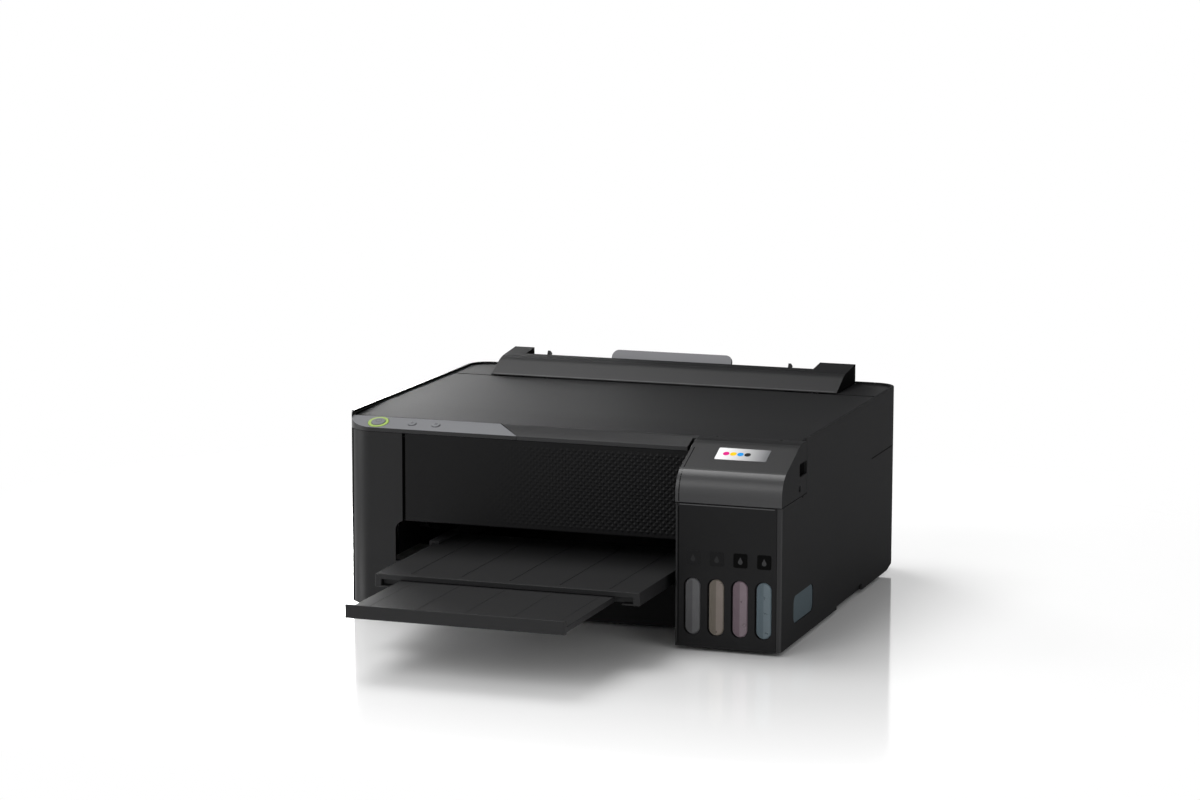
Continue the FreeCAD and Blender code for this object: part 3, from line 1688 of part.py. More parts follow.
def feed_frame():
    half = "backrest_width / 2"
    length = ("-backrest_top - backrest_length", "-backrest_top")
    parts = [
        leaning_block(
            "rest_plate",
            (f"paper_x - {half}", f"paper_x + {half}"),
            ("rest_front", "-seat_gap"),
            length,
        )
    ]
    for side in SIDES:
        keeper = mirrored_at(
            "paper_x", side, "support_width / 2 + seat_gap", "support_width / 2 + seat_gap + wall"
        )
        hook = mirrored_at(
            "paper_x", side, "support_width / 2 - channel_reach", "support_width / 2 + seat_gap + wall"
        )
        parts.append(
            leaning_block(
                f"rest_keeper_{side}", keeper, ("-wall", "support_thickness + wall + seat_gap"), length
            )
        )
        parts.append(
            leaning_block(
                f"rest_hook_{side}",
                hook,
                ("support_thickness + seat_gap", "support_thickness + wall + seat_gap"),
                length,
            )
        )
        leg = mirrored_at("paper_x", side, f"{half} - wall", half)
        parts.append(
            block(
                f"rest_leg_{side}",
                leg,
                ("pickup_y - pickup_arm / 2", "support_y - backrest_length * sin(feed_tilt)"),
                ("floor_z + seat_gap", "pickup_z"),
            )
        )
        arm = mirrored_at("paper_x", side, "pickup_span / 2 - 2 * wall", "pickup_span / 2 - wall")
        parts.append(
            block(
                f"rest_arm_{side}",
                arm,
                ("pickup_y - pickup_arm / 2", "pickup_y + pickup_out / cos(feed_tilt)"),
                ("pickup_z - pickup_arm / 2", "pickup_z + pickup_arm / 2"),
            )
        )
        ear = mirrored_at(
            "paper_x", side, "hopper_width / 2 + seat_gap", "hopper_width / 2 + seat_gap + hopper_ear"
        )
        parts.append(
            leaning_block(
                f"hopper_ear_{side}",
                ear,
                ("hopper_mid - hopper_ear", "-seat_gap"),
                ("-hopper_top - hopper_ear", "-hopper_top + hopper_ear"),
            )
        )
    whole = join("feed_frame_whole", *parts)
    bores = [
        rod(
            "pickup_bore",
            "X",
            "pickup_shaft_radius + fit_gap",
            ("paper_x - pickup_span / 2", "paper_x + pickup_span / 2"),
            ("pickup_y", "pickup_z"),
        ),
        rod(
            "hopper_bore",
            "X",
            "hopper_pin_radius + fit_gap",
            (
                "paper_x - hopper_width / 2 - 2 * hopper_ear",
                "paper_x + hopper_width / 2 + 2 * hopper_ear",
            ),
            ("hopper_y", "hopper_z"),
        ),
    ]
    keep(trim("feed_frame", whole, *bores), "feed_frame")


def edge_guide(side, name):
    inside = "tray_width / 2"
    fence = leaning_block(
        f"{name}_fence",
        mirrored_at("paper_x", side, inside, f"{inside} + guide_fence"),
        ("guide_back - guide_depth", "guide_back"),
        ("-guide_top - guide_length", "-guide_top"),
    )
    foot = leaning_block(
        f"{name}_foot",
        mirrored_at("paper_x", side, inside, f"{inside} + guide_foot_width"),
        ("guide_back - guide_foot_thickness", "guide_back"),
        ("-guide_top - guide_length", "-guide_top - guide_length + guide_foot_length"),
    )
    keep(join(name, fence, foot), name)


def hopper():
    half = "hopper_width / 2"
    plate = leaning_block(
        "hopper_plate",
        (f"paper_x - {half}", f"paper_x + {half}"),
        ("guide_back - hopper_thickness", "guide_back"),
        ("-hopper_top - hopper_length", "-hopper_top"),
    )
    pin = rod(
        "hopper_pin",
        "X",
        "hopper_pin_radius",
        (f"paper_x - {half} - hopper_ear", f"paper_x + {half} + hopper_ear"),
        ("hopper_y", "hopper_z"),
    )
    keep(join("hopper", plate, pin), "hopper")


def pickup():
    at = ("pickup_y", "pickup_z")
    shaft = rod(
        "pickup_shaft",
        "X",
        "pickup_shaft_radius",
        ("paper_x - pickup_span / 2", "paper_x + pickup_span / 2"),
        at,
    )
    tyre_x = ("paper_x - pickup_width / 2", "paper_x + pickup_width / 2")
    hub = rod("pickup_hub", "X", "pickup_hub_radius", tyre_x, at)
    keep(join("pickup_roller", shaft, hub), "pickup_roller")
    ring = rod("pickup_ring", "X", "pickup_tyre_radius", tyre_x, at)
    core = rod(
        "pickup_core", "X", "pickup_hub_radius", (f"{tyre_x[0]} - wall", f"{tyre_x[1]} + wall"), at
    )
    keep(trim("pickup_tyre", ring, core), "pickup_tyre")


# Frame and carriage


def main_frame():
    """A pressed steel back with two cheeks, a top flange, the feed motor's plate and two pins."""
    x = ("-cheek_x", "cheek_x")
    parts = [
        block("frame_back", x, ("frame_y", "frame_y + sheet"), ("frame_low", "frame_height")),
        block(
            "frame_flange",
            x,
            ("frame_y - flange_depth", "frame_y + sheet"),
            ("frame_height - sheet", "frame_height"),
        ),
        block(
            "frame_motor_plate",
            ("motor_plate_x", "motor_plate_x + sheet"),
            ("pinion_y - feed_motor_radius", "pinion_y + feed_motor_radius"),
            ("floor_z + seat_gap", "frame_low + 2 * wall"),
        ),
        rod(
            "frame_idler_pin",
            "Y",
            "idler_pin_radius",
            ("belt_y - 2 * pulley_flange", "frame_y + sheet"),
            ("idler_x", "pulley_height"),
        ),
        rod(
            "frame_gear_pin",
            "X",
            "gear_pin_radius",
            ("-cheek_x", "gear_high_x"),
            ("idler_gear_y", "feed_z"),
        ),
    ]
    for side in SIDES:
        parts.append(
            block(
                f"frame_cheek_{side}",
                mirrored(side, "cheek_x - sheet", "cheek_x"),
                ("cheek_y", "frame_y + sheet"),
                ("floor_z + seat_gap", "frame_height"),
            )
        )
    whole = join("frame_whole", *parts)
    across = ("-side_x", "side_x")
    bores = [
        block(
            "frame_gear_way",
            ("gear_low_x - panel_gap", "motor_plate_x"),
            ("frame_y - wall", "frame_y + wall"),
            ("frame_low - wall", "feed_z + gear_module * (feed_teeth / 2 + 1) + panel_gap"),
        ),
        rod("frame_rod_bore", "X", "rod_radius + fit_gap", across, ("rod_y", "rod_height")),
        rod("frame_feed_bore", "X", "feed_radius + fit_gap", across, ("feed_y", "feed_z")),
        rod("frame_eject_bore", "X", "eject_shaft_radius + fit_gap", across, ("eject_y", "feed_z")),
        rod(
            "frame_motor_bore",
            "Y",
            "motor_shaft_radius + wall",
            ("frame_y - wall", "frame_y + wall"),
            ("drive_x", "pulley_height"),
        ),
        rod(
            "frame_pinion_bore",
            "X",
            "motor_shaft_radius + wall",
            ("motor_plate_x - wall", "feed_motor_x + wall"),
            ("pinion_y", "pinion_z"),
        ),
    ]
    keep(trim("main_frame", whole, *bores), "main_frame")
    keep(
        rod(
            "carriage_rod",
            "X",
            "rod_radius",
            ("-cheek_x - sheet", "cheek_x + sheet"),
            ("rod_y", "rod_height"),
        ),
        "carriage_rod",
    )
    strip = block(
        "encoder_strip",
        ("-cheek_x + sheet + fit_gap", "cheek_x - sheet - fit_gap"),
        ("face_y + strip_setback", "face_y + strip_setback + strip_thickness"),
        ("strip_low", "strip_low + strip_height"),
    )
    keep(strip, "encoder_strip")


def carriage():
    x = ("park_x - carriage_width / 2", "park_x + carriage_width / 2")
    shell = block(
        "carriage_shell", x, ("carriage_y", "carriage_back_y"), ("carriage_low", "carriage_high")
    )
    clip_x = ("park_x - clip_shift - clip_width / 2", "park_x - clip_shift + clip_width / 2")
    run_z = ("pulley_height - belt_outer", "pulley_height - belt_inner")
    clip = block(
        "carriage_clip",
        clip_x,
        ("carriage_back_y - wall", "belt_back_y + seat_gap"),
        (f"{run_z[0]} - seat_gap - clip_jaw", f"{run_z[1]} + seat_gap + clip_jaw"),
    )
    bay = block(
        "carriage_bay",
        (f"{x[0]} + wall", f"{x[1]} - wall"),
        ("carriage_y + wall", "carriage_back_y - carriage_back"),
        ("carriage_low + wall", "carriage_high + wall"),
    )
    bore = rod(
        "carriage_bore", "X", "rod_radius + fit_gap", ("-side_x", "side_x"), ("rod_y", "rod_height")
    )
    belt_way = block(
        "carriage_belt_way",
        ("-side_x", "side_x"),
        ("belt_y - seat_gap", "frame_y"),
        (f"{run_z[0]} - seat_gap", f"{run_z[1]} + seat_gap"),
    )
    keep(trim("carriage", join("carriage_whole", shell, clip), bay, bore, belt_way), "carriage")
    head_y = "carriage_y + (carriage_depth - carriage_back - head_depth) / 2"
    keep(
        block(
            "print_head",
            ("park_x - head_width / 2", "park_x + head_width / 2"),
            (head_y, f"{head_y} + head_depth"),
            ("head_low", "carriage_low"),
        ),
        "print_head",
    )


def belt_drive():
    span = ("belt_y", "belt_back_y")
    ends = ("idler_x", "drive_x")
    outer = stadium("belt_outside", "X", "2 * belt_outer", ends, span, "pulley_height")
    inner = stadium(
        "belt_inside",
        "X",
        "2 * belt_inner",
        ends,
        ("belt_y - wall", "belt_back_y + wall"),
        "pulley_height",
    )
    keep(trim("timing_belt", outer, inner), "timing_belt")
    for name, x in (("drive_pulley", "drive_x"), ("idler_pulley", "idler_x")):
        at = (x, "pulley_height")
        rims = [
            ("belt_y - seat_gap - pulley_flange", "belt_y - seat_gap"),
            ("belt_back_y + seat_gap", "belt_back_y + seat_gap + pulley_flange"),
        ]
        drum = rod(name + "_drum", "Y", "pulley_radius", (rims[0][0], rims[1][1]), at)
        flanges = [
            rod(f"{name}_flange_{i}", "Y", "pulley_flange_radius", flange, at)
            for i, flange in enumerate(rims)
        ]
        if name == "drive_pulley":
            shaft = rod(
                name + "_shaft",
                "Y",
                "motor_shaft_radius",
                (rims[0][0], "motor_y + motor_length / 2"),
                at,
            )
            keep(join(name, drum, shaft, *flanges), name)
        else:
            bore = rod(
                name + "_bore", "Y", "idler_pin_radius + fit_gap", ("belt_y - 2 * wall", "frame_y"), at
            )
            keep(trim(name, join(name + "_whole", drum, *flanges), bore), name)


def motors():
    at = ("drive_x", "pulley_height")
    can = rod("carriage_motor_can", "Y", "motor_radius", ("motor_y", "motor_y + motor_length"), at)
    well = rod(
        "carriage_motor_well",
        "Y",
        "motor_shaft_radius + fit_gap",
        ("motor_y - wall", "motor_y + motor_length / 2 + seat_gap"),
        at,
    )
    spot = ("pinion_y", "pinion_z")
    feed_can = rod(
        "feed_motor_can",
        "X",
        "feed_motor_radius",
        ("feed_motor_x", "feed_motor_x + feed_motor_length"),
        spot,
    )
    feed_well = rod(
        "feed_motor_well",
        "X",
        "motor_shaft_radius + fit_gap",
        ("feed_motor_x - wall", "feed_motor_x + feed_motor_length / 2 + seat_gap"),
        spot,
    )
    keep(
        group(
            "drive_motors", trim("carriage_motor", can, well), trim("feed_motor", feed_can, feed_well)
        ),
        "drive_motors",
    )


def ink_tubes():
    """Four tubes from the tanks' outlets up the back of the unit and over to the parked carriage."""
    tubes = []
    bend = number("tube_bend")
    start_y = number("tank_back_y + tube_nipple")
    rise_y = start_y + number("tube_rise")
    down_y = number("carriage_y + tube_drop")
    low, high = number("tube_low"), number("tube_high")
    foot = number("carriage_low + wall")
    for index in range(len(INKS)):
        tank = number(tank_middle(index))
        lane = number("park_x") + (index - (len(INKS) - 1) / 2) * number("tube_pitch")
        points = [
            V(tank, start_y, low),
            V(tank, rise_y, low),
            V(tank, rise_y, high),
            V(lane, down_y, high),
            V(lane, down_y, foot),
        ]
        tubes.append(bent_tube(points, bend, number("tube_radius")))
    feature = doc.addObject("Part::Feature", "ink_tubes")
    feature.Shape = Part.makeCompound(tubes)
    feature.Placement = FreeCAD.Placement()
    keep(feature, "ink_tubes")


def bent_tube(points, bend, radius):
    """A round tube along straight runs joined by tangent arcs of one radius."""
    edges = []
    here = points[0]
    for before, corner, after in zip(points, points[1:], points[2:]):
        arrive = (corner - before).normalize()
        leave = (after - corner).normalize()
        turn = math.acos(max(-1.0, min(1.0, arrive.dot(leave))))
        back = bend * math.tan(turn / 2)
        first = corner - arrive * back
        last = corner + leave * back
        bisector = (leave - arrive).normalize()
        middle = corner + bisector * (bend / math.cos(turn / 2) - bend)
        edges.append(Part.LineSegment(here, first).toShape())
        edges.append(Part.Arc(first, middle, last).toShape())
        here = last
    edges.append(Part.LineSegment(here, points[-1]).toShape())
    path = Part.Wire(edges)
    circle = Part.Wire(Part.makeCircle(radius, points[0], points[1] - points[0]))
    return path.makePipeShell([circle], True, False)


# Paper feed


def tooth_angle(radius, base):
    """The involute function at a radius, in radians."""
    roll = math.sqrt(max((radius / base) ** 2 - 1, 0))
    return roll - math.atan(roll)


def gear(name, teeth, x, at, turn, bore):
    """A spur gear about X whose first tooth points at an angle from +Y towards +Z, in degrees."""
    module = number("gear_module")
    pitch = module * teeth / 2
    base = pitch * math.cos(math.radians(PRESSURE_ANGLE))
    tip = pitch + module
    root = pitch - DEDENDUM * module
    half = math.pi / (2 * teeth) - number("gear_backlash") / (4 * pitch) + tooth_angle(pitch, base)
    flank = [max(root, base), max(pitch, base), tip]
    rising = [(root, half - tooth_angle(flank[0], base))] + [
        (r, half - tooth_angle(r, base)) for r in flank
    ]
    points = []
    for tooth in range(int(teeth)):
        middle = math.radians(turn) + 2 * math.pi * tooth / teeth
        outline = [(r, middle - a) for r, a in rising] + [(r, middle + a) for r, a in reversed(rising)]
        for radius, angle in outline:
            spot = V(0, radius * math.cos(angle), radius * math.sin(angle))
            if not points or (spot - points[-1]).Length > NEAR:
                points.append(spot)
    width = number(f"({x[1]}) - ({x[0]})")
    solid = Part.Face(Part.makePolygon(points + points[:1])).extrude(V(width, 0, 0))
    solid = solid.cut(Part.makeCylinder(number(bore), width, V(), V(1, 0, 0)))
    feature = doc.addObject("Part::Feature", name)
    feature.Shape = solid
    feature.Placement = FreeCAD.Placement(
        V(number(x[0]), number(at[0]), number(at[1])), FreeCAD.Rotation()
    )
    return feature



def mesh_turn(towards, driver_teeth, driver_turn, teeth):
    """The turn that sets a gear in mesh with a driver that lies the other way along a line of centres."""
    driver_step = 360.0 / driver_teeth
    ahead = (towards - driver_turn) % driver_step
    return (towards + 180.0 + ahead * driver_teeth / teeth + 180.0 / teeth) % 360.0


def feed_train():
    x = ("gear_low_x", "gear_high_x")
    teeth = {name: number(f"{name}_teeth") for name in ("feed", "idler", "eject", "pinion")}
    idler_turn = mesh_turn(180.0, teeth["feed"], 0.0, teeth["idler"])
    eject_turn = mesh_turn(180.0, teeth["idler"], idler_turn, teeth["eject"])
    pinion_turn = mesh_turn(-number("pinion_angle"), teeth["feed"], 0.0, teeth["pinion"])
    at = ("feed_y", "feed_z")
    keep(gear("feed_gear", teeth["feed"], x, at, 0.0, "feed_radius + fit_gap"), "feed_gear")
    at = ("idler_gear_y", "feed_z")
    keep(
        gear("idler_gear", teeth["idler"], x, at, idler_turn, "gear_pin_radius + fit_gap"), "idler_gear"
    )
    at = ("eject_y", "feed_z")
    keep(
        gear("eject_gear", teeth["eject"], x, at, eject_turn, "eject_shaft_radius + fit_gap"),
        "eject_gear",
    )
    at = ("pinion_y", "pinion_z")
    ring = gear("pinion_ring", teeth["pinion"], x, at, pinion_turn, "motor_shaft_radius")
    reach = ("gear_low_x", "feed_motor_x + feed_motor_length / 2")
    shaft = rod("pinion_shaft", "X", "motor_shaft_radius", reach, at)
    keep(join("motor_pinion", ring, shaft), "motor_pinion")


def feed_rollers():
    ends = ("-cheek_x - wall", "cheek_x + wall")
    keep(rod("feed_roller", "X", "feed_radius", ends, ("feed_y", "feed_z")), "feed_roller")
    keep(rod("eject_roller", "X", "eject_shaft_radius", ends, ("eject_y", "feed_z")), "eject_roller")
    tyres = []
    for index in range(EJECT_TYRES):
        tyres.append(eject_tyre(index, row_middle(index, EJECT_TYRES, "eject_tyre_pitch")))
    keep(group("eject_tyres", *tyres), "eject_tyres")



def row_middle(index, count, pitch):
    """The middle of one of a row of pieces spread about the paper's centre line."""
    return f"paper_x + ({index} - ({count} - 1) / 2) * {pitch}"


def eject_tyre(index, middle):
    x = (f"{middle} - eject_tyre_width / 2", f"{middle} + eject_tyre_width / 2")
    ring = rod(f"eject_ring_{index}", "X", "feed_radius", x, ("eject_y", "feed_z"))
    core = rod(
        f"eject_core_{index}",
        "X",
        "eject_shaft_radius + fit_gap",
        (f"{x[0]} - wall", f"{x[1]} + wall"),
        ("eject_y", "feed_z"),
    )
    return trim(f"eject_tyre_{index}", ring, core)


def pinch_rollers():
    bar = block(
        "pinch_bar",
        ("paper_x - platen_width / 2", "paper_x + platen_width / 2"),
        ("frame_y - seat_gap - pinch_bar_depth", "frame_y - seat_gap"),
        ("pinch_top", "pinch_top + pinch_bar_height"),
    )
    rollers = []
    for index in range(PINCH_ROLLERS):
        middle = row_middle(index, PINCH_ROLLERS, "pinch_pitch")
        rollers.append(
            rod(
                f"pinch_{index}",
                "X",
                "pinch_radius",
                (f"{middle} - pinch_length / 2", f"{middle} + pinch_length / 2"),
                ("pinch_y", "pinch_z"),
            )
        )
    keep(group("pinch_rollers", bar, *rollers), "pinch_rollers")


def platen():
    table = block(
        "platen_table",
        ("paper_x - platen_width / 2", "paper_x + platen_width / 2"),
        ("platen_y", "platen_y + platen_depth"),
        ("tray_top + wall + 2 * seat_gap", "platen_top"),
    )
    ribs = []
    for index in range(PLATEN_RIBS):
        middle = row_middle(index, PLATEN_RIBS, "rib_pitch")
        ribs.append(
            block(
                f"platen_rib_{index}",
                (f"{middle} - rib_width / 2", f"{middle} + rib_width / 2"),
                ("platen_y", "platen_y + platen_depth"),
                ("platen_top - wall", "platen_top + rib_height"),
            )
        )
    keep(join("platen", table, *ribs), "platen")


def star_wheels():
    bar_low = "star_z + star_radius"
    bar = block(
        "star_bar",
        ("-cheek_x + sheet + fit_gap", "cheek_x - sheet - fit_gap"),
        ("eject_y - star_bar_depth / 2", "eject_y + star_bar_depth / 2"),
        (bar_low, f"{bar_low} + star_bar_height"),
    )
    wheels = []
    for index in range(EJECT_TYRES):
        middle = row_middle(index, EJECT_TYRES, "eject_tyre_pitch")
        wheels.append(
            rod(
                f"star_{index}",
                "X",
                "star_radius",
                (f"{middle} - star_width / 2", f"{middle} + star_width / 2"),
                ("eject_y", "star_z"),
            )
        )
    keep(group("star_wheels", bar, *wheels), "star_wheels")


# Service station, electronics and fasteners


def cap_station():
    x = ("station_x", "station_x + station_width")
    base = block(
        "station_base",
        x,
        ("station_y", "station_y + station_depth"),
        ("floor_z + seat_gap", "station_height"),
    )
    middle = "station_x + station_width / 2"
    cap_x = (f"{middle} - station_cap_width / 2", f"{middle} + station_cap_width / 2")
    cap_y = ("station_mid_y - station_cap_depth / 2", "station_mid_y + station_cap_depth / 2")
    cap = block(
        "station_cap", cap_x, cap_y, ("station_height - wall", "station_height + station_cap_height")
    )
    well = block(
        "station_well",
        (f"{cap_x[0]} + wall", f"{cap_x[1]} - wall"),
        (f"{cap_y[0]} + wall", f"{cap_y[1]} - wall"),
        ("station_height + wall", "station_height + station_cap_height + wall"),
    )
    wiper = block(
        "station_wiper",
        ("station_x", "station_x + wiper_thickness"),
        ("station_mid_y - wiper_width / 2", "station_mid_y + wiper_width / 2"),
        ("station_height - wall", "station_height + station_cap_height"),
    )
    keep(trim("cap_station", join("station_whole", base, cap, wiper), well), "cap_station")
    pad_x = ("-cheek_x + sheet + seat_gap", "-cheek_x + sheet + seat_gap + pad_width")
    keep(
        block(
            "waste_ink_pad",
            pad_x,
            ("face_y + pad_setback", "face_y + pad_setback + pad_depth"),
            ("floor_z + seat_gap", "floor_z + seat_gap + pad_height"),
        ),
        "waste_ink_pad",
    )


def electronics():
    board = block(
        "board_sheet",
        ("board_x", "board_x + board_width"),
        ("board_y", "board_y + board_thickness"),
        ("board_low", "board_low + board_height"),
    )
    chips = []
    for index, (across, up, wide, tall) in enumerate(CHIPS):
        chips.append(
            block(
                f"board_chip_{index}",
                (f"board_x + board_width * {across}", f"board_x + board_width * {across + wide}"),
                ("board_y - 2 * board_thickness", "board_y + board_thickness / 2"),
                (f"board_low + board_height * {up}", f"board_low + board_height * {up + tall}"),
            )
        )
    foot = block(
        "board_foot",
        ("board_x", "board_x + board_width"),
        ("board_y - 2 * wall", "board_y + board_thickness / 2"),
        ("floor_z + heel_rise", "board_low + wall"),
    )
    keep(join("main_board", board, foot, *chips), "main_board")
    supply = block(
        "power_supply",
        ("supply_x", "supply_x + supply_width"),
        ("supply_back_y - supply_depth", "supply_back_y"),
        ("floor_z + heel_rise + seat_gap", "floor_z + heel_rise + seat_gap + supply_height"),
    )
    keep(supply, "power_supply")
    socket(
        "power_inlet",
        "inlet",
        "inlet_x",
        "supply_back_y + seat_gap",
        "inlet_socket_width",
        "inlet_socket_tall",
    )
    socket(
        "usb_socket",
        "usb",
        "usb_x",
        "board_y + board_thickness + fit_gap",
        "usb_width - 2 * usb_shell",
        "usb_tall - 2 * usb_shell",
    )



def socket(name, kind, x, front, hole_width, hole_tall):
    """A connector housing open at the rear, with its contacts."""
    shell = block(
        f"{kind}_shell",
        (f"{x} - {kind}_width / 2", f"{x} + {kind}_width / 2"),
        (front, "screw_y"),
        (f"{kind}_height - {kind}_tall / 2", f"{kind}_height + {kind}_tall / 2"),
    )
    depth = "inlet_socket_depth - wall" if kind == "inlet" else "usb_depth"
    hole = block(
        f"{kind}_hole",
        (f"{x} - ({hole_width}) / 2", f"{x} + ({hole_width}) / 2"),
        (f"screw_y - ({depth})", "rear_y"),
        (f"{kind}_height - ({hole_tall}) / 2", f"{kind}_height + ({hole_tall}) / 2"),
    )
    hollow = trim(f"{kind}_hollow", shell, hole)
    if kind == "inlet":
        pins = [
            rod(
                f"inlet_pin_{side}",
                "Y",
                "inlet_pin_radius",
                (f"screw_y - ({depth}) - wall / 2", "screw_y - wall"),
                (f"{x} + {side} * inlet_pin_spacing / 2", "inlet_height"),
            )
            for side in SIDES
        ]
        keep(join(name, hollow, *pins), name)
    else:
        tongue = block(
            "usb_tongue",
            (f"{x} - usb_width / 4", f"{x} + usb_width / 4"),
            (f"screw_y - ({depth}) - wall / 2", "screw_y - wall"),
            ("usb_height + usb_shell", "usb_height + 3 * usb_shell"),
        )
        keep(join(name, hollow, tongue), name)


def feet():
    spots = [
        ("foot_inset - side_x", "face_y + foot_inset"),
        ("foot_inset - side_x", "rear_y - heel_run - foot_inset"),
        ("side_x - foot_inset", "rear_y - heel_run - foot_inset"),
        ("side_x - foot_inset", "tank_front_y + foot_inset"),
    ]
    pads = [
        rod(f"foot_{i}", "Z", "foot_radius", ("0", "foot_height"), spot) for i, spot in enumerate(spots)
    ]
    keep(group("rubber_feet", *pads), "rubber_feet")


def screws():
    pieces = []
    for index, spot in enumerate(screw_places()):
        head = rod(
            f"screw_head_{index}",
            "Y",
            "screw_head_radius",
            ("screw_y", "screw_y + screw_head_height"),
            spot,
        )
        shank = rod(
            f"screw_shank_{index}",
            "Y",
            "screw_radius",
            ("screw_y - screw_length", "screw_y + screw_head_height / 2"),
            spot,
        )
        pieces.append(join(f"screw_{index}", head, shank))
    keep(group("case_screws", *pieces), "case_screws")


def build():
    """Make every piece in turn."""
    left_side_panel()
    right_side_panel()
    rear_panel()
    lower_case()
    top_frame()
    top_cover()
    front_panel()
    control_panel()
    buttons()
    tank_housing()
    for index, ink in enumerate(INKS):
        ink_tank(index, ink)
        tank_cap(index, ink)
    tank_cover()
    output_tray()
    tray_extension()
    feeder_guard()
    paper_support()
    feed_frame()
    edge_guide(-1, "left_edge_guide")
    edge_guide(1, "right_edge_guide")
    hopper()
    pickup()
    main_frame()
    carriage()
    belt_drive()
    motors()
    ink_tubes()
    feed_train()
    feed_rollers()
    pinch_rollers()
    platen()
    star_wheels()
    cap_station()
    electronics()
    feet()
    screws()
    doc.recompute()


def check():
    """Stop on any object that failed, or any piece whose shape is empty or not valid."""
    for thing in doc.Objects:
        if "Invalid" in thing.State or "Error" in thing.State:
            raise RuntimeError(f"{thing.Name} failed: {thing.State}")
    for piece in PIECES:
        if piece.Shape.isNull() or not piece.Shape.isValid() or not piece.Shape.Solids:
            raise RuntimeError(f"{piece.Label} has no valid solid")


def write():
    os.makedirs("parts", exist_ok=True)
    for piece in PIECES:
        piece.Shape.exportStep(f"parts/{piece.Label}.step")
        print(f"{piece.Label}: {len(piece.Shape.Solids)} solid(s), {piece.Shape.Volume / 1000:.1f} cm3")


build()
check()
write()
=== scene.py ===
"""An inkjet printer with a front ink tank unit: its finishes, small details, studio and camera.

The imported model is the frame. Its nodes keep their shapes and get rounded edges and finishes, and the
pieces made here are those too fine for the solids. Sizes are in millimetres until a mesh is made.
"""

import logging
import math
from dataclasses import dataclass, field
from enum import Enum
from typing import Any, Iterable, Sequence

import bmesh
import bpy
from mathutils import Matrix, Vector
from mathutils.bvhtree import BVHTree


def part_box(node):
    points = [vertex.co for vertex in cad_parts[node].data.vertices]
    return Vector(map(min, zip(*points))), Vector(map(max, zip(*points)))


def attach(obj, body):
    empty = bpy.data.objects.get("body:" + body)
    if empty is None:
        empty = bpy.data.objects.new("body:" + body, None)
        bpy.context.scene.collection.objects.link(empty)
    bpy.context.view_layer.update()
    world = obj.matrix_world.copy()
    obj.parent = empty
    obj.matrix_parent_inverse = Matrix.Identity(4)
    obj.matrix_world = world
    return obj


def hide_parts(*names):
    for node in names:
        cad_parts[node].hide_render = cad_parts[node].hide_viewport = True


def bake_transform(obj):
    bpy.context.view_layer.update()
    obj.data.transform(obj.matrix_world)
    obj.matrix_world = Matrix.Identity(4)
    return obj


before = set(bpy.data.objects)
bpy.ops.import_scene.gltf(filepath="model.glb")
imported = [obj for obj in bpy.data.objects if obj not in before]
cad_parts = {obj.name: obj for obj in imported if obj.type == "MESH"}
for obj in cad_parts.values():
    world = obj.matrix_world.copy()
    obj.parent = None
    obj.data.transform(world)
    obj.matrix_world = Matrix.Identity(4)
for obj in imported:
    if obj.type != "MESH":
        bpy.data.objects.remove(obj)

LOG = logging.getLogger("printer")
MM = 0.001
# How far off a ray starts, how far a piece sinks into what carries it, and a gap that only keeps points
# apart, all in millimetres.
CLEAR = 300.0
SINK = 0.05
HAIR = 0.001
# The angle in degrees under which two faces count as one flat.
FLAT = 0.4
# The inputs of a colour Mix node: its factor and its two colours.
MIX_INPUTS = ("Factor", 6, 7)
RIGHT = Vector((1.0, 0.0, 0.0))
BACK = Vector((0.0, 1.0, 0.0))
UP = Vector((0.0, 0.0, 1.0))
Point = tuple[float, float]
Place = tuple[float, float, float]
Colour = tuple[float, float, float, float]
Inputs = dict[str | int, Any]
Piece = bpy.types.Object
Tree = bpy.types.NodeTree
Socket = bpy.types.NodeSocket


def linear(code: str) -> Colour:
    """Turns an sRGB colour into linear light.

    Args:
        code: a hex value such as "#2a2a2b".

    Returns:
        The linear colour with an alpha of one.
    """
    shares = [int(code[start:start + 2], 16) / 255 for start in (1, 3, 5)]
    red, green, blue = (s / 12.92 if s <= 0.04045 else ((s + 0.055) / 1.055) ** 2.4 for s in shares)
    return red, green, blue, 1.0


def add_node(tree: Tree, kind: str, inputs: Inputs | None = None, **settings: Any) -> bpy.types.Node:
    """Adds one node with its settings and links.

    Args:
        tree: the node tree that takes the node.
        kind: the node's type name.
        inputs: a value, or another node's output, for each input by its name or number.
        settings: the node's own properties.

    Returns:
        The new node.
    """
    node = tree.nodes.new(kind)
    for name, value in settings.items():
        setattr(node, name, value)
    for key, value in (inputs or {}).items():
        if isinstance(value, Socket):
            tree.links.new(value, node.inputs[key])
        else:
            node.inputs[key].default_value = value
    return node


# Finishes


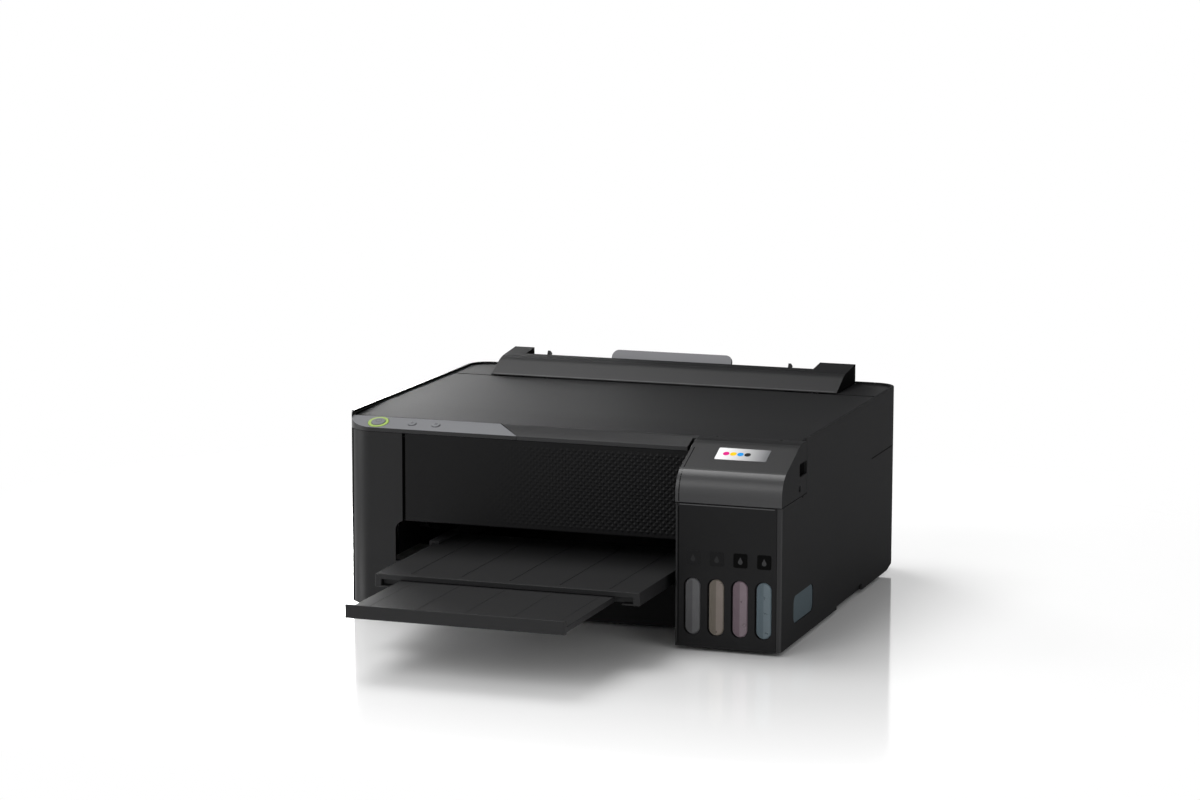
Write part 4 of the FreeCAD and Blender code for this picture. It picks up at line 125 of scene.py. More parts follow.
@dataclass(frozen=True)
class Finish:
    """A material of the printer, made once and shared."""

    name: str
    colour: str
    roughness: float

    def material(self) -> bpy.types.Material:
        """The Blender material of this finish, made on its first use."""
        made = bpy.data.materials.get(self.name)
        if made is None:
            made = bpy.data.materials.new(self.name)
            made.use_nodes = True
            tree = made.node_tree
            tree.nodes.clear()
            place = add_node(tree, "ShaderNodeTexCoord").outputs["Object"]
            plain = {"Base Color": linear(self.colour), "Roughness": self.roughness}
            shader = add_node(tree, "ShaderNodeBsdfPrincipled", plain | self.surface(tree, place))
            add_node(tree, "ShaderNodeOutputMaterial", {"Surface": shader.outputs[0]})
        return made

    def surface(self, tree: Tree, place: Socket) -> Inputs:
        """Builds the finish's patterns.

        Args:
            tree: the material's node tree.
            place: the output that gives a point's place on the printer.

        Returns:
            What the shader's inputs take, apart from a plain colour and roughness.
        """
        raise NotImplementedError

    def shades(self, factor: Socket, low: float, high: float) -> Inputs:
        """The inputs of a mix between two shades of the colour, each a share of it."""
        red, green, blue, _ = linear(self.colour)
        ends = [(red * share, green * share, blue * share, 1.0) for share in (low, high)]
        return dict(zip(MIX_INPUTS, (factor, *ends)))

    def spread(self, value: Socket, below: float, above: float) -> Inputs:
        """The inputs of a range that spreads the roughness about its own value."""
        return {"Value": value, "To Min": self.roughness - below, "To Max": self.roughness + above}


@dataclass(frozen=True)
class MouldedPlastic(Finish):
    """Plastic from a spark-eroded mould: a fine even grain that scatters the light to a soft sheen."""

    grain: float = 0.9
    relief: float = 0.012
    drift: float = 55.0
    mottle: float = 0.05
    swing: float = 0.06
    specular: float = 0.3
    ior: float = 1.53

    def surface(self, tree: Tree, place: Socket) -> Inputs:
        """Grain in the bump and the roughness, and a slow drift in the colour."""
        # The real grain is about a quarter of a millimetre, so it is drawn coarser to show at all.
        fine = {"Vector": place, "Scale": 1 / (self.grain * MM), "Detail": 2.0, "Roughness": 0.6}
        grain = add_node(tree, "ShaderNodeTexNoise", fine).outputs[0]
        slow = {"Vector": place, "Scale": 1 / (self.drift * MM), "Detail": 3.0}
        drift = add_node(tree, "ShaderNodeTexNoise", slow).outputs[0]
        ends = self.shades(drift, 1 - self.mottle, 1 + self.mottle)
        tone = add_node(tree, "ShaderNodeMix", ends, data_type="RGBA")
        sheen = add_node(tree, "ShaderNodeMapRange", self.spread(grain, self.swing, self.swing))
        depth = {"Height": grain, "Strength": 1.0, "Distance": self.relief * MM}
        bump = add_node(tree, "ShaderNodeBump", depth)
        return {
            "Base Color": tone.outputs[2],
            "Roughness": sheen.outputs[0],
            "IOR": self.ior,
            "Specular IOR Level": self.specular,
            "Normal": bump.outputs[0],
        }


@dataclass(frozen=True)
class StripedPlastic(Finish):
    """Black polycarbonate with a polished skin and faint slanting bands left by the mould's finish."""

    band: float = 9.0
    lean: float = 45.0
    swing: float = 0.07
    grain: float = 0.8
    relief: float = 0.006
    specular: float = 0.12
    ior: float = 1.58
    # A wave texture draws twenty bands to a unit at a scale of one.
    bands_per_unit: float = 20.0

    def surface(self, tree: Tree, place: Socket) -> Inputs:
        """Bands in the roughness that only show as a change of sheen."""
        lean = {"Vector": place, "Rotation": (0.0, math.radians(self.lean), 0.0)}
        turned = add_node(tree, "ShaderNodeMapping", lean).outputs[0]
        wide = {"Vector": turned, "Scale": 1 / (self.band * MM) / self.bands_per_unit, "Distortion": 0.6}
        bands = add_node(tree, "ShaderNodeTexWave", wide, wave_profile="SAW").outputs[1]
        sheen = add_node(tree, "ShaderNodeMapRange", self.spread(bands, self.swing, self.swing))
        fine = {"Vector": place, "Scale": 1 / (self.grain * MM), "Detail": 2.0}
        grain = add_node(tree, "ShaderNodeTexNoise", fine).outputs[0]
        depth = {"Height": grain, "Strength": 1.0, "Distance": self.relief * MM}
        bump = add_node(tree, "ShaderNodeBump", depth)
        return {
            "Roughness": sheen.outputs[0],
            "IOR": self.ior,
            "Specular IOR Level": self.specular,
            "Normal": bump.outputs[0],
        }


@dataclass(frozen=True)
class ClearPlastic(Finish):
    """Tinted see-through polypropylene or film, cloudy from the mould, that lets some light through."""

    through: float = 0.25
    cloud: float = 6.0
    mottle: float = 0.14
    swing: float = 0.08
    ior: float = 1.49

    def surface(self, tree: Tree, place: Socket) -> Inputs:
        """Slow clouds in the tint and the roughness."""
        slow = {"Vector": place, "Scale": 1 / (self.cloud * MM), "Detail": 4.0}
        clouds = add_node(tree, "ShaderNodeTexNoise", slow).outputs[0]
        ends = self.shades(clouds, 1 - self.mottle, 1 + self.mottle)
        tone = add_node(tree, "ShaderNodeMix", ends, data_type="RGBA")
        sheen = add_node(tree, "ShaderNodeMapRange", self.spread(clouds, self.swing, self.swing))
        return {
            "Base Color": tone.outputs[2],
            "Roughness": sheen.outputs[0],
            "IOR": self.ior,
            "Transmission Weight": self.through,
        }


@dataclass(frozen=True)
class LitPlastic(Finish):
    """Frosted acrylic with a lamp behind it, brightest where the light pipe meets it."""

    glow: float = 0.25
    patch: float = 5.0
    mottle: float = 0.2
    ior: float = 1.49

    def surface(self, tree: Tree, place: Socket) -> Inputs:
        """A soft unevenness in the glow."""
        slow = {"Vector": place, "Scale": 1 / (self.patch * MM), "Detail": 1.0}
        patches = add_node(tree, "ShaderNodeTexNoise", slow).outputs[0]
        ends = self.shades(patches, 1 - self.mottle, 1 + self.mottle)
        tone = add_node(tree, "ShaderNodeMix", ends, data_type="RGBA").outputs[2]
        return {"Base Color": tone, "IOR": self.ior, "Emission Color": tone, "Emission Strength": self.glow}


@dataclass(frozen=True)
class SheetSteel(Finish):
    """Galvanised steel: dull zinc with the crystals of the bath showing as faint spangle."""

    spangle: float = 7.0
    dark: float = 0.82
    swing: float = 0.1

    def surface(self, tree: Tree, place: Socket) -> Inputs:
        """Cells that differ in tone and in roughness."""
        size = {"Vector": place, "Scale": 1 / (self.spangle * MM)}
        cells = add_node(tree, "ShaderNodeTexVoronoi", size).outputs["Color"]
        tone = add_node(tree, "ShaderNodeMix", self.shades(cells, self.dark, 1.0), data_type="RGBA")
        sheen = add_node(tree, "ShaderNodeMapRange", self.spread(cells, self.swing, self.swing))
        return {"Base Color": tone.outputs[2], "Roughness": sheen.outputs[0], "Metallic": 1.0}


@dataclass(frozen=True)
class GroundSteel(Finish):
    """Steel ground between centres: bright, with fine rings round each shaft."""

    ring: float = 0.8
    along: float = 2.0
    smoother: float = 0.1
    rougher: float = 0.12

    def surface(self, tree: Tree, place: Socket) -> Inputs:
        """Rings across the shaft's length, drawn coarser than the real grinding marks so they show."""
        squeeze = {"Vector": place, "Scale": (1 / (self.ring * MM), self.along, self.along)}
        squeezed = add_node(tree, "ShaderNodeMapping", squeeze).outputs[0]
        fine = {"Vector": squeezed, "Scale": 1.0, "Detail": 3.0}
        rings = add_node(tree, "ShaderNodeTexNoise", fine).outputs[0]
        sheen = add_node(tree, "ShaderNodeMapRange", self.spread(rings, self.smoother, self.rougher))
        return {"Roughness": sheen.outputs[0], "Metallic": 1.0}


@dataclass(frozen=True)
class Fibre(Finish):
    """Needled felt: short fibres in every direction that give a soft matt nap."""

    fibre: float = 1.1
    nap: float = 0.4
    dryness: float = 0.3

    def surface(self, tree: Tree, place: Socket) -> Inputs:
        """Fibres in the bump, with a dry sheen at the edges."""
        fine = {"Vector": place, "Scale": 1 / (self.fibre * MM), "Detail": 6.0, "Distortion": 1.5}
        fibres = add_node(tree, "ShaderNodeTexNoise", fine).outputs[0]
        depth = {"Height": fibres, "Strength": 1.0, "Distance": self.nap * MM}
        bump = add_node(tree, "ShaderNodeBump", depth)
        return {"Sheen Weight": self.dryness, "Normal": bump.outputs[0]}


@dataclass(frozen=True)
class Laminate(Finish):
    """Glass-epoxy board under solder mask: glossy green with the copper tracks standing up through it."""

    track: float = 2.4
    copper: str = "#2f7a45"
    proud: float = 0.04
    ior: float = 1.55

    def surface(self, tree: Tree, place: Socket) -> Inputs:
        """Tracks as paler lines that stand proud of the mask."""
        size = {"Vector": place, "Scale": 1 / (self.track * MM), "Mortar Size": 0.09, "Mortar Smooth": 0.2}
        tracks = add_node(tree, "ShaderNodeTexBrick", size).outputs["Fac"]
        ends = dict(zip(MIX_INPUTS, (tracks, linear(self.colour), linear(self.copper))))
        tone = add_node(tree, "ShaderNodeMix", ends, data_type="RGBA")
        depth = {"Height": tracks, "Strength": 1.0, "Distance": self.proud * MM}
        bump = add_node(tree, "ShaderNodeBump", depth)
        return {"Base Color": tone.outputs[2], "IOR": self.ior, "Normal": bump.outputs[0]}


@dataclass(frozen=True)
class GradedPrint(Finish):
    """A glossy printed plate whose colour grades from one end to the other along its length."""

    far_colour: str = "#6a6b6e"
    start: float = 0.0
    end: float = 1.0
    grain: float = 0.7
    relief: float = 0.004
    ior: float = 1.5

    def surface(self, tree: Tree, place: Socket) -> Inputs:
        """A change of colour along X between the plate's two ends, with a trace of print grain."""
        along = add_node(tree, "ShaderNodeSeparateXYZ", {"Vector": place}).outputs[0]
        span = {"Value": along, "From Min": self.start * MM, "From Max": self.end * MM}
        share = add_node(tree, "ShaderNodeMapRange", span).outputs[0]
        ends = dict(zip(MIX_INPUTS, (share, linear(self.colour), linear(self.far_colour))))
        tone = add_node(tree, "ShaderNodeMix", ends, data_type="RGBA")
        fine = {"Vector": place, "Scale": 1 / (self.grain * MM)}
        grain = add_node(tree, "ShaderNodeTexNoise", fine).outputs[0]
        depth = {"Height": grain, "Strength": 1.0, "Distance": self.relief * MM}
        bump = add_node(tree, "ShaderNodeBump", depth)
        return {"Base Color": tone.outputs[2], "IOR": self.ior, "Normal": bump.outputs[0]}


# Black ABS with the mould's fine grain: near black, with a soft grey sheen where light grazes it.
CASE_ABS = MouldedPlastic("abs_grained_black", "#1d1d1e", 0.75, specular=0.05)
# The same ABS on the covers, from a finer mould, so that the sheen is a little tighter.
COVER_ABS = MouldedPlastic("abs_fine_grained_black", "#1e1e1f", 0.6, relief=0.008, specular=0.08)
# Where the covers lean to the front the mould is smoother, and the sheen there is plainly brighter. The
# same finish is laid as painted shade on the grey strip's upright walls and as a painted highlight band on
# the tank unit's left cheek.
SATIN_ABS = MouldedPlastic("abs_satin_black", "#1e1e1f", 0.4, relief=0.006, specular=0.25)
# The rounded column at the left is smoother still, so its corner takes a bright band and its front none.
COLUMN_ABS = MouldedPlastic("abs_semi_gloss_black", "#141415", 0.32, relief=0.005, specular=0.2)
# The lid's front lip is smoother than its top, and its colour is painted a shade paler: painted light where
# the lip faces the front lamps.
LIP_PAINTED_LIGHT_ABS = MouldedPlastic("abs_lip_painted_light", "#252526", 0.45, relief=0.006, specular=0.25)
# The tank cover's curved nose is polished and takes a broad highlight.
NOSE_ABS = MouldedPlastic("abs_polished_black", "#18181a", 0.42, relief=0.012, specular=0.6)
# The slope behind the nose is between it and the cover's top, so the highlight fades in.
SLOPE_ABS = MouldedPlastic("abs_satin_slope", "#1d1d1e", 0.45, relief=0.01, specular=0.2)
# Painted shade: rims, end faces, seam and gap lines and the parts inside the slot turn from the lamps and
# look dead black, so a dull near-black is painted on them.
PAINTED_SHADE_BLACK = MouldedPlastic("abs_painted_shade_black", "#080808", 0.9, specular=0.01)
# Painted highlight: a paler, smoother ABS laid along edges as a thin pale line where they would catch the
# light.
EDGE_HIGHLIGHT_ABS = MouldedPlastic("abs_painted_highlight_edge", "#3c3c3d", 0.35, relief=0.003, specular=0.4)
# The front is darker and smoother than the case, and its relief does the scattering.
FRONT_ABS = MouldedPlastic("abs_smooth_black", "#0c0c0d", 0.5, relief=0.004, specular=0.12)
# Satin grey ABS of the control strip: plainly lighter than what is round it.
STRIP_ABS = MouldedPlastic("abs_satin_grey", "#68696c", 0.5, relief=0.005, specular=0.3)
# The small keys are moulded in the strip's own grey.
BUTTON_ABS = MouldedPlastic("abs_satin_key_grey", "#68696c", 0.5, relief=0.004, specular=0.3)
# The paper support is a paler, greyer moulding than the hood in front of it.
SUPPORT_ABS = MouldedPlastic("abs_grained_mid_grey", "#77777a", 0.6, specular=0.25)
# Polystyrene of the trays and inner frames: plain black, a little smoother than the case.
INNER_PS = MouldedPlastic("polystyrene_black", "#161617", 0.55, relief=0.008, specular=0.25)
# Acetal gears and pulleys: waxy black with a soft shine.
GEAR_POM = MouldedPlastic("acetal_black", "#1b1b1c", 0.38, relief=0.004, specular=0.45, ior=1.48)
# Polycarbonate front of the tank unit: smooth, dark, with faint slanting bands in its sheen.
TANK_PC = StripedPlastic("polycarbonate_polished_black", "#111112", 0.42)
# Painted shade: seen through the side window the tank is duller and darker, for little light comes back
# from behind it, so its right end takes a darker copy of the cyan tint.
CYAN_PAINTED_SHADE = MouldedPlastic("polypropylene_cyan_painted_shade", "#3a464c", 0.6, relief=0.004, specular=0.1)
# The square marks are inset in gloss black ABS, nearly as dark as the front or darker; the black and yellow
# marks take lighter copies of it, painted light that grades along the row, and magenta and cyan the plain
# near-black.
MARK_PAINTED_LIGHT = MouldedPlastic("abs_gloss_painted_light", "#121213", 0.4, relief=0.003, specular=0.12)
MARK_PAINTED_HALF_LIGHT = MouldedPlastic("abs_gloss_painted_half_light", "#101011", 0.4, relief=0.003, specular=0.1)
MARK_BLACK = MouldedPlastic("abs_gloss_black", "#030303", 0.35, relief=0.002, specular=0.04)
MARK_DROP = MouldedPlastic("ink_print_grey", "#333334", 0.5, relief=0.003, specular=0.1)
MARK_FAINT = MouldedPlastic("ink_print_charcoal", "#232324", 0.5, relief=0.003, specular=0.1)
# Screen print on the keys: a flat grey a little darker than the key.
SIGN_INK = MouldedPlastic("ink_print_dark_grey", "#58595c", 0.6, relief=0.003, specular=0.2)
# The plate on the tank cover is printed white, and its colour grades to grey towards its right end.
PLATE_PRINT = GradedPrint("polyester_plate_printed", "#ececec", 0.3, "#5f6063", 130.0, 166.0)
# Frosted acrylic ring round the power key, lit yellow-green.
RING_ACRYLIC = LitPlastic("acrylic_lit_green", "#86a043", 0.5, glow=0.14)
# Galvanised steel plate of the chassis and the motor cans.
FRAME_STEEL = SheetSteel("steel_galvanised", "#9fa1a3", 0.42)
# Ground steel of rods and rollers.
SHAFT_STEEL = GroundSteel("steel_ground", "#b4b4b6", 0.26)
# Moulded rubber of tyres, feet and belt: dark, dusty and without shine.
RUBBER = MouldedPlastic("rubber_moulded", "#1a1a1a", 0.85, grain=1.2, relief=0.03, specular=0.2, ior=1.52)
# Polyester film of the encoder strip, and the soft clear tubing.
FILM = ClearPlastic("polyester_film", "#8d8f94", 0.15, through=0.6, ior=1.6)
# White needled felt of the waste ink pad.
FELT = Fibre("felt_needled_white", "#c9c8c3", 0.95)
# Circuit board.
BOARD = Laminate("board_glass_epoxy", "#14502c", 0.3)


# Shapes


@dataclass(frozen=True)
class Plane:
    """A flat place on the printer: an origin and two directions, in millimetres of the row frame."""

    origin: Vector
    across: Vector
    up: Vector

    def at(self, u: float, v: float, w: float = 0.0) -> Vector:
        """The point u across, v up and w out of the plane, in metres."""
        out = self.across.cross(self.up)
        return (self.origin + self.across * u + self.up * v + out * w) * MM


def box_mm(node: str) -> tuple[Vector, Vector]:
    """The low and high corners of a node's box, in millimetres."""
    low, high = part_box(node)
    return low / MM, high / MM


def touch(node: str, start: Sequence[float], direction: Vector) -> tuple[Vector, Vector]:
    """Finds where a ray first meets a node.

    Args:
        node: the CAD node's name.
        start: where the ray starts, in millimetres.
        direction: where it goes.

    Returns:
        The point in millimetres, and the surface's direction there.
    """
    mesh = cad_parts[node].data
    tree = BVHTree.FromPolygons([v.co for v in mesh.vertices], [p.vertices[:] for p in mesh.polygons])
    point, normal, _, _ = tree.ray_cast(Vector(start) * MM, direction)
    if normal.dot(direction) > 0:
        normal = -normal
    return point / MM, normal


def seat(node: str, start: Sequence[float], direction: Vector) -> Plane:
    """The plane that lies on a node where a ray meets it.

    Args:
        node: the CAD node's name.
        start: where the ray starts, in millimetres.
        direction: where it goes.

    Returns:
        The plane, facing out of the surface, with its first direction to the printer's right.
    """
    point, normal = touch(node, start, direction)
    return Plane(point, RIGHT, normal.cross(RIGHT).normalized())


def arc(radius: float, start: float, sweep: float, steps: int, centre: Point = (0.0, 0.0)) -> list[Point]:
    """The points along an arc, both ends counted, with its angles in degrees."""
    turns = [math.radians(start + sweep * k / steps) for k in range(steps + 1)]
    return [(centre[0] + radius * math.cos(t), centre[1] + radius * math.sin(t)) for t in turns]


def circle(radius: float, centre: Point = (0.0, 0.0), steps: int = 32) -> list[Point]:
    """A circle's outline."""
    return arc(radius, 0.0, 360.0, steps, centre)[:-1]


def rounded_box(width: float, height: float, radius: float, steps: int = 6) -> list[Point]:
    """A box's outline with round corners, about its middle."""
    outline: list[Point] = []
    for quarter, (sx, sy) in enumerate(((1, 1), (-1, 1), (-1, -1), (1, -1))):
        centre = (sx * (width / 2 - radius), sy * (height / 2 - radius))
        outline += arc(radius, 90.0 * quarter, 90.0, steps, centre)
    return outline


def stadium(width: float, height: float, steps: int = 16) -> list[Point]:
    """An upright slot with half-round ends, about its middle."""
    return rounded_box(width, height, width / 2 - HAIR, steps)


def left_half(radius: float, straight: float, steps: int = 12) -> list[Point]:
    """The left half of an upright slot's outline, from its top to its foot, about its middle."""
    foot = arc(radius, 180.0, 90.0, steps, (0.0, -straight))
    return arc(radius, 90.0, 90.0, steps, (0.0, straight)) + foot[1:]


def droplet(height: float, share: float = 0.32, shoulder: float = 150.0, steps: int = 24) -> list[Point]:
    """A drop's outline: a round belly that draws up to a point, about its middle.

    Args:
        height: the drop's height.
        share: the belly's radius as a share of the height.
        shoulder: the angle in degrees at which the belly leaves off.
        steps: how many edges make up the belly.

    Returns:
        The outline's points.
    """
    radius = height * share
    belly = arc(radius, shoulder, 2 * (270.0 - shoulder), steps, (0.0, radius - height / 2))
    return belly + [(0.0, height / 2)]


def mesh_object(name: str, points: Iterable[Vector], faces: Iterable[Sequence[int]]) -> Piece:
    """Makes a mesh object from points in metres and its faces."""
    mesh = bpy.data.meshes.new(name)
    mesh.from_pydata([tuple(p) for p in points], [], [tuple(f) for f in faces])
    mesh.validate()
    made = bpy.data.objects.new(name, mesh)
    bpy.context.scene.collection.objects.link(made)
    return made


def loft(name: str, forms: Iterable[list[list[Vector]]]) -> Piece:
    """Skins closed forms through their rings of points.

    Args:
        name: the object's name.
        forms: for each form its rings from end to end, in metres, all with the same number of points.

    Returns:
        The new object.
    """
    points: list[Vector] = []
    faces: list[list[int]] = []
    for rings in forms:
        count = len(rings[0])
        starts = [len(points) + count * station for station in range(len(rings))]
        points += [point for ring in rings for point in ring]
        faces.append([starts[0] + k for k in reversed(range(count))])
        faces.append([starts[-1] + k for k in range(count)])
        for low, high in zip(starts, starts[1:]):
            for k in range(count):
                after = (k + 1) % count
                faces.append([low + k, low + after, high + after, high + k])
    return mesh_object(name, points, faces)


def prism(name: str, plane: Plane, outlines: list[list[Point]], low: float, high: float) -> Piece:
    """Raises one or more outlines from a plane.

    Args:
        name: the object's name.
        plane: where the outlines lie.
        outlines: closed outlines, counter-clockwise, in millimetres.
        low: how far out of the plane the prism starts.
        high: how far out it ends.

    Returns:
        The new object.
    """
    forms = []
    for outline in outlines:
        forms.append([[plane.at(u, v, lift) for u, v in outline] for lift in (low, high)])
    return loft(name, forms)


def ribbon(
    name: str, node: str, starts: Iterable[Place], direction: Vector, width: float, rise: float
) -> Piece:
    """Lays a narrow raised band on a node, along the places where a row of rays meets it.

    Args:
        name: the object's name.
        node: the CAD node that carries the band.
        starts: where the rays start, in millimetres.
        direction: where they go.
        width: the band's width in millimetres.
        rise: how far it stands out of the surface.

    Returns:
        The new object.
    """
    spots = [touch(node, begin, direction) for begin in starts]
    rings = []
    for station, (point, normal) in enumerate(spots):
        along = spots[min(station + 1, len(spots) - 1)][0] - spots[max(station - 1, 0)][0]
        half = normal.cross(along).normalized() * width / 2
        low, high = point - normal * SINK, point + normal * rise
        rings.append([p * MM for p in (low - half, low + half, high + half, high - half)])
    return loft(name, [rings])


def round_edges(
    piece: Piece, width: float, sharp: float = 35.0, crisp: float = 24.0, steps: int = 4
) -> None:
    """Rounds a piece's sharp edges, so that they catch the light as moulded edges do.

    Args:
        piece: the object, whose own mesh stays as it is.
        width: the rounding's width in millimetres.
        sharp: the angle in degrees from which an edge is rounded.
        crisp: the angle in degrees from which an edge stays crisp in the shading.
        steps: how many faces make up the round.
    """
    weld = piece.modifiers.new("weld", "WELD")
    weld.merge_threshold = 2 * HAIR * MM
    flat = piece.modifiers.new("flatten", "DECIMATE")
    flat.decimate_type = "DISSOLVE"
    flat.angle_limit = math.radians(FLAT)
    bevel = piece.modifiers.new("edge_round", "BEVEL")
    bevel.width = width * MM
    bevel.segments = steps
    bevel.limit_method = "ANGLE"
    bevel.angle_limit = math.radians(sharp)
    bevel.harden_normals = True
    bevel.miter_outer = "MITER_ARC"
    crease = piece.modifiers.new("crease", "EDGE_SPLIT")
    crease.split_angle = math.radians(crisp)
    piece.modifiers.new("shading", "WEIGHTED_NORMAL").keep_sharp = True


# Sub-assemblies

# An end that no share of a direction reaches, and the span that holds them all.
OPEN = 2.0
ANY = (-OPEN, OPEN)


class Facing(Enum):
    """Groups of a node's faces, each with the spans that the X, Y and Z of their direction lie in."""

    FRONT = ((ANY, (-OPEN, -0.2), (-0.1, OPEN)),)
    UPRIGHT = ((ANY, ANY, (-0.3, 0.3)),)
    NOSE = ((ANY, (-OPEN, -0.5), (-0.1, OPEN)),)
    LEFT_SIDE = (((-OPEN, -0.9), ANY, ANY),)
    LEFT_RIM = (((-0.97, -0.72), ANY, ANY), ((-0.97, -0.1), ANY, (0.1, OPEN)))
    RIGHT_END = (((0.6, OPEN), ANY, ANY),)

    def holds(self, normal: Vector) -> bool:
        """Whether a face with this direction is in the group."""
        return any(
            all(low < share < high for share, (low, high) in zip(normal, spans)) for spans in self.value
        )


@dataclass
class Assembly:
    """A group of the printer's pieces that is built and finished together."""

    made: list[str] = field(default_factory=list, init=False)

    def dress(
        self,
        nodes: Iterable[str],
        finish: Finish,
        edge: float = 0.0,
        others: dict[Facing, Finish] | None = None,
    ) -> None:
        """Gives CAD nodes a finish and, where asked, rounded edges.

        Args:
            nodes: the nodes' names.
            finish: the finish that they take.
            edge: the width of the rounding in millimetres, or nothing.
            others: the finishes of faces that differ from the rest by where they face.
        """
        for name in nodes:
            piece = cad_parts[name]
            piece.data.materials.clear()
            piece.data.materials.append(finish.material())
            for index, (facing, other) in enumerate((others or {}).items(), 1):
                piece.data.materials.append(other.material())
                for face in piece.data.polygons:
                    if facing.holds(face.normal):
                        face.material_index = index
            if edge:
                piece.data.shade_smooth()
                round_edges(piece, edge)
            self.made.append(name)

    def carry(self, piece: Piece, finish: Finish, body: str, slot: str) -> None:
        """Finishes a new piece and puts it on a body.

        Args:
            piece: the new object.
            finish: the finish that it takes.
            body: the CAD body that it moves with.
            slot: the record's material slot; not used.
        """
        piece.data.materials.append(finish.material())
        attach(piece, body)
        self.made.append(piece.name)

    def build(self) -> None:
        """Makes the group's pieces."""
        raise NotImplementedError

    def report(self) -> None:
        """Logs each piece that the group made or finished."""
        for name in self.made:
            LOG.info("%s: %s", type(self).__name__, name)


@dataclass
class Case(Assembly):
    """The outer shells, the feet and the screws."""

    edge: float = 0.6
    fine_edge: float = 0.3
    foot_edge: float = 0.4
    seam_height: float = 106.0
    seam_length: float = 84.0
    seam_end: float = 19.0
    seam_width: float = 1.0
    seam_fill: float = 0.72
    slit_drop: float = 1.2
    slit_width: float = 1.5
    slit_rise: float = 0.02
    slit_end: float = 58.0

    def build(self) -> None:
        """Finishes the shells."""
        # The left panel's rounded rim and the inner wall of its lip take painted shade; its flat outer side
        # keeps the case's colour.
        side_and_rim_shade = {Facing.LEFT_SIDE: CASE_ABS, Facing.LEFT_RIM: PAINTED_SHADE_BLACK, Facing.RIGHT_END: PAINTED_SHADE_BLACK}
        self.dress(["left_side_panel"], COLUMN_ABS, self.fine_edge, side_and_rim_shade)
        self.dress(["top_frame"], COVER_ABS, self.fine_edge)
        self.dress(["right_side_panel"], CASE_ABS, self.edge, {Facing.FRONT: SATIN_ABS})
        self.dress(["rear_panel", "lower_case"], CASE_ABS, self.edge)
        self.seams()
        self.dress(["rubber_feet"], RUBBER, self.foot_edge)
        self.dress(["case_screws"], SHAFT_STEEL)

    def seams(self) -> None:
        """Painted shade on the right side: dark lines where the rear seam's groove and the slit under the
        tank cover lie in shadow.
        """
        low, high = box_mm("right_side_panel")
        beside = high.x + CLEAR
        run = [(beside, y, self.seam_height) for y in (high.y - self.seam_length, high.y - self.seam_end)]
        seam = ribbon("rear_seam_shade_line", "right_side_panel", run, -RIGHT, self.seam_width, self.seam_fill)
        self.carry(seam, PAINTED_SHADE_BLACK, "case", "case_plastic")
        height = box_mm("tank_cover")[0].z - self.slit_drop
        run = [(beside, low.y + step, height) for step in (self.edge, self.slit_end)]
        slit = ribbon("tank_slit_shade_line", "right_side_panel", run, -RIGHT, self.slit_width, self.slit_rise)
        self.carry(slit, PAINTED_SHADE_BLACK, "case", "case_plastic")


@dataclass
class TopCover(Assembly):
    """The lid over the print engine."""

    edge: float = 0.4

    def build(self) -> None:
        """Finishes the lid."""
        # The lip faces take a paler copy of the cover's colour: painted light.
        self.dress(["top_cover"], COVER_ABS, self.edge, {Facing.FRONT: LIP_PAINTED_LIGHT_ABS})


@dataclass
class FrontPanel(Assembly):
    """The dark front with its small diamond relief."""

    edge: float = 0.5
    pitch: float = 5.2
    land: float = 0.35
    root: float = 0.02
    low_relief: float = 0.03
    high_relief: float = 0.7
    smooth_share: float = 0.25
    gap_start: float = -136.9
    gap_width: float = 2.0
    gap_rise: float = 0.03
    gap_inset: float = 0.6
    gap_top: float = 3.4
    margin: float = 2.2
    left_margin: float = 12.4

    def build(self) -> None:
        """Finishes the panel and raises the diamonds on it."""
        self.dress(["front_panel"], FRONT_ABS, self.edge)
        self.carry(self.relief(), FRONT_ABS, "case", "front_plastic")
        self.carry(self.column_gap(), PAINTED_SHADE_BLACK, "case", "front_plastic")

    def column_gap(self) -> Piece:
        """Painted shade: the dark line where the panel runs in behind the column at its left."""
        top = box_mm("control_panel")[0].z - self.gap_top
        foot = box_mm("front_panel")[0].z + self.gap_inset
        x = self.gap_start + self.gap_width / 2
        run = [(x, -CLEAR, height) for height in (top, foot)]
        return ribbon("column_gap_shade_line", "front_panel", run, BACK, self.gap_width, self.gap_rise)

    def relief(self) -> Piece:
        """Rows of low four-sided pyramids, set half a pitch apart, that fade out to the left."""
        low, high = box_mm("front_panel")
        left = low.x + self.left_margin
        right = high.x - self.margin
        bottom = low.z + self.margin
        top = box_mm("control_panel")[0].z - self.margin
        half = self.pitch / 2 - self.land
        face = Plane(BACK * low.y, RIGHT, UP)
        points: list[Vector] = []
        faces: list[list[int]] = []
        row = 0
        z = bottom + half
        while z + half <= top:
            x = left + half + (row % 2) * self.pitch / 2
            while x + half <= right:
                across = (x - left) / (right - left)
                share = max(0.0, across - self.smooth_share) / (1.0 - self.smooth_share)
                height = self.low_relief + (self.high_relief - self.low_relief) * share
                base = len(points)
                corners = ((x + half, z), (x, z + half), (x - half, z), (x, z - half))
                points += [face.at(u, v, -self.root) for u, v in corners]
                points.append(face.at(x, z, height))
                faces += [[base + k, base + (k + 1) % 4, base + 4] for k in range(4)]
                faces.append([base + 3, base + 2, base + 1, base])
                x += self.pitch
            z += self.pitch / 2
            row += 1
        return mesh_object("front_diamond_relief", points, faces)


class Sign(Enum):
    """The plain signs on the keys."""

    POWER = "power"
    DROP = "ink"
    SHEET = "paper"


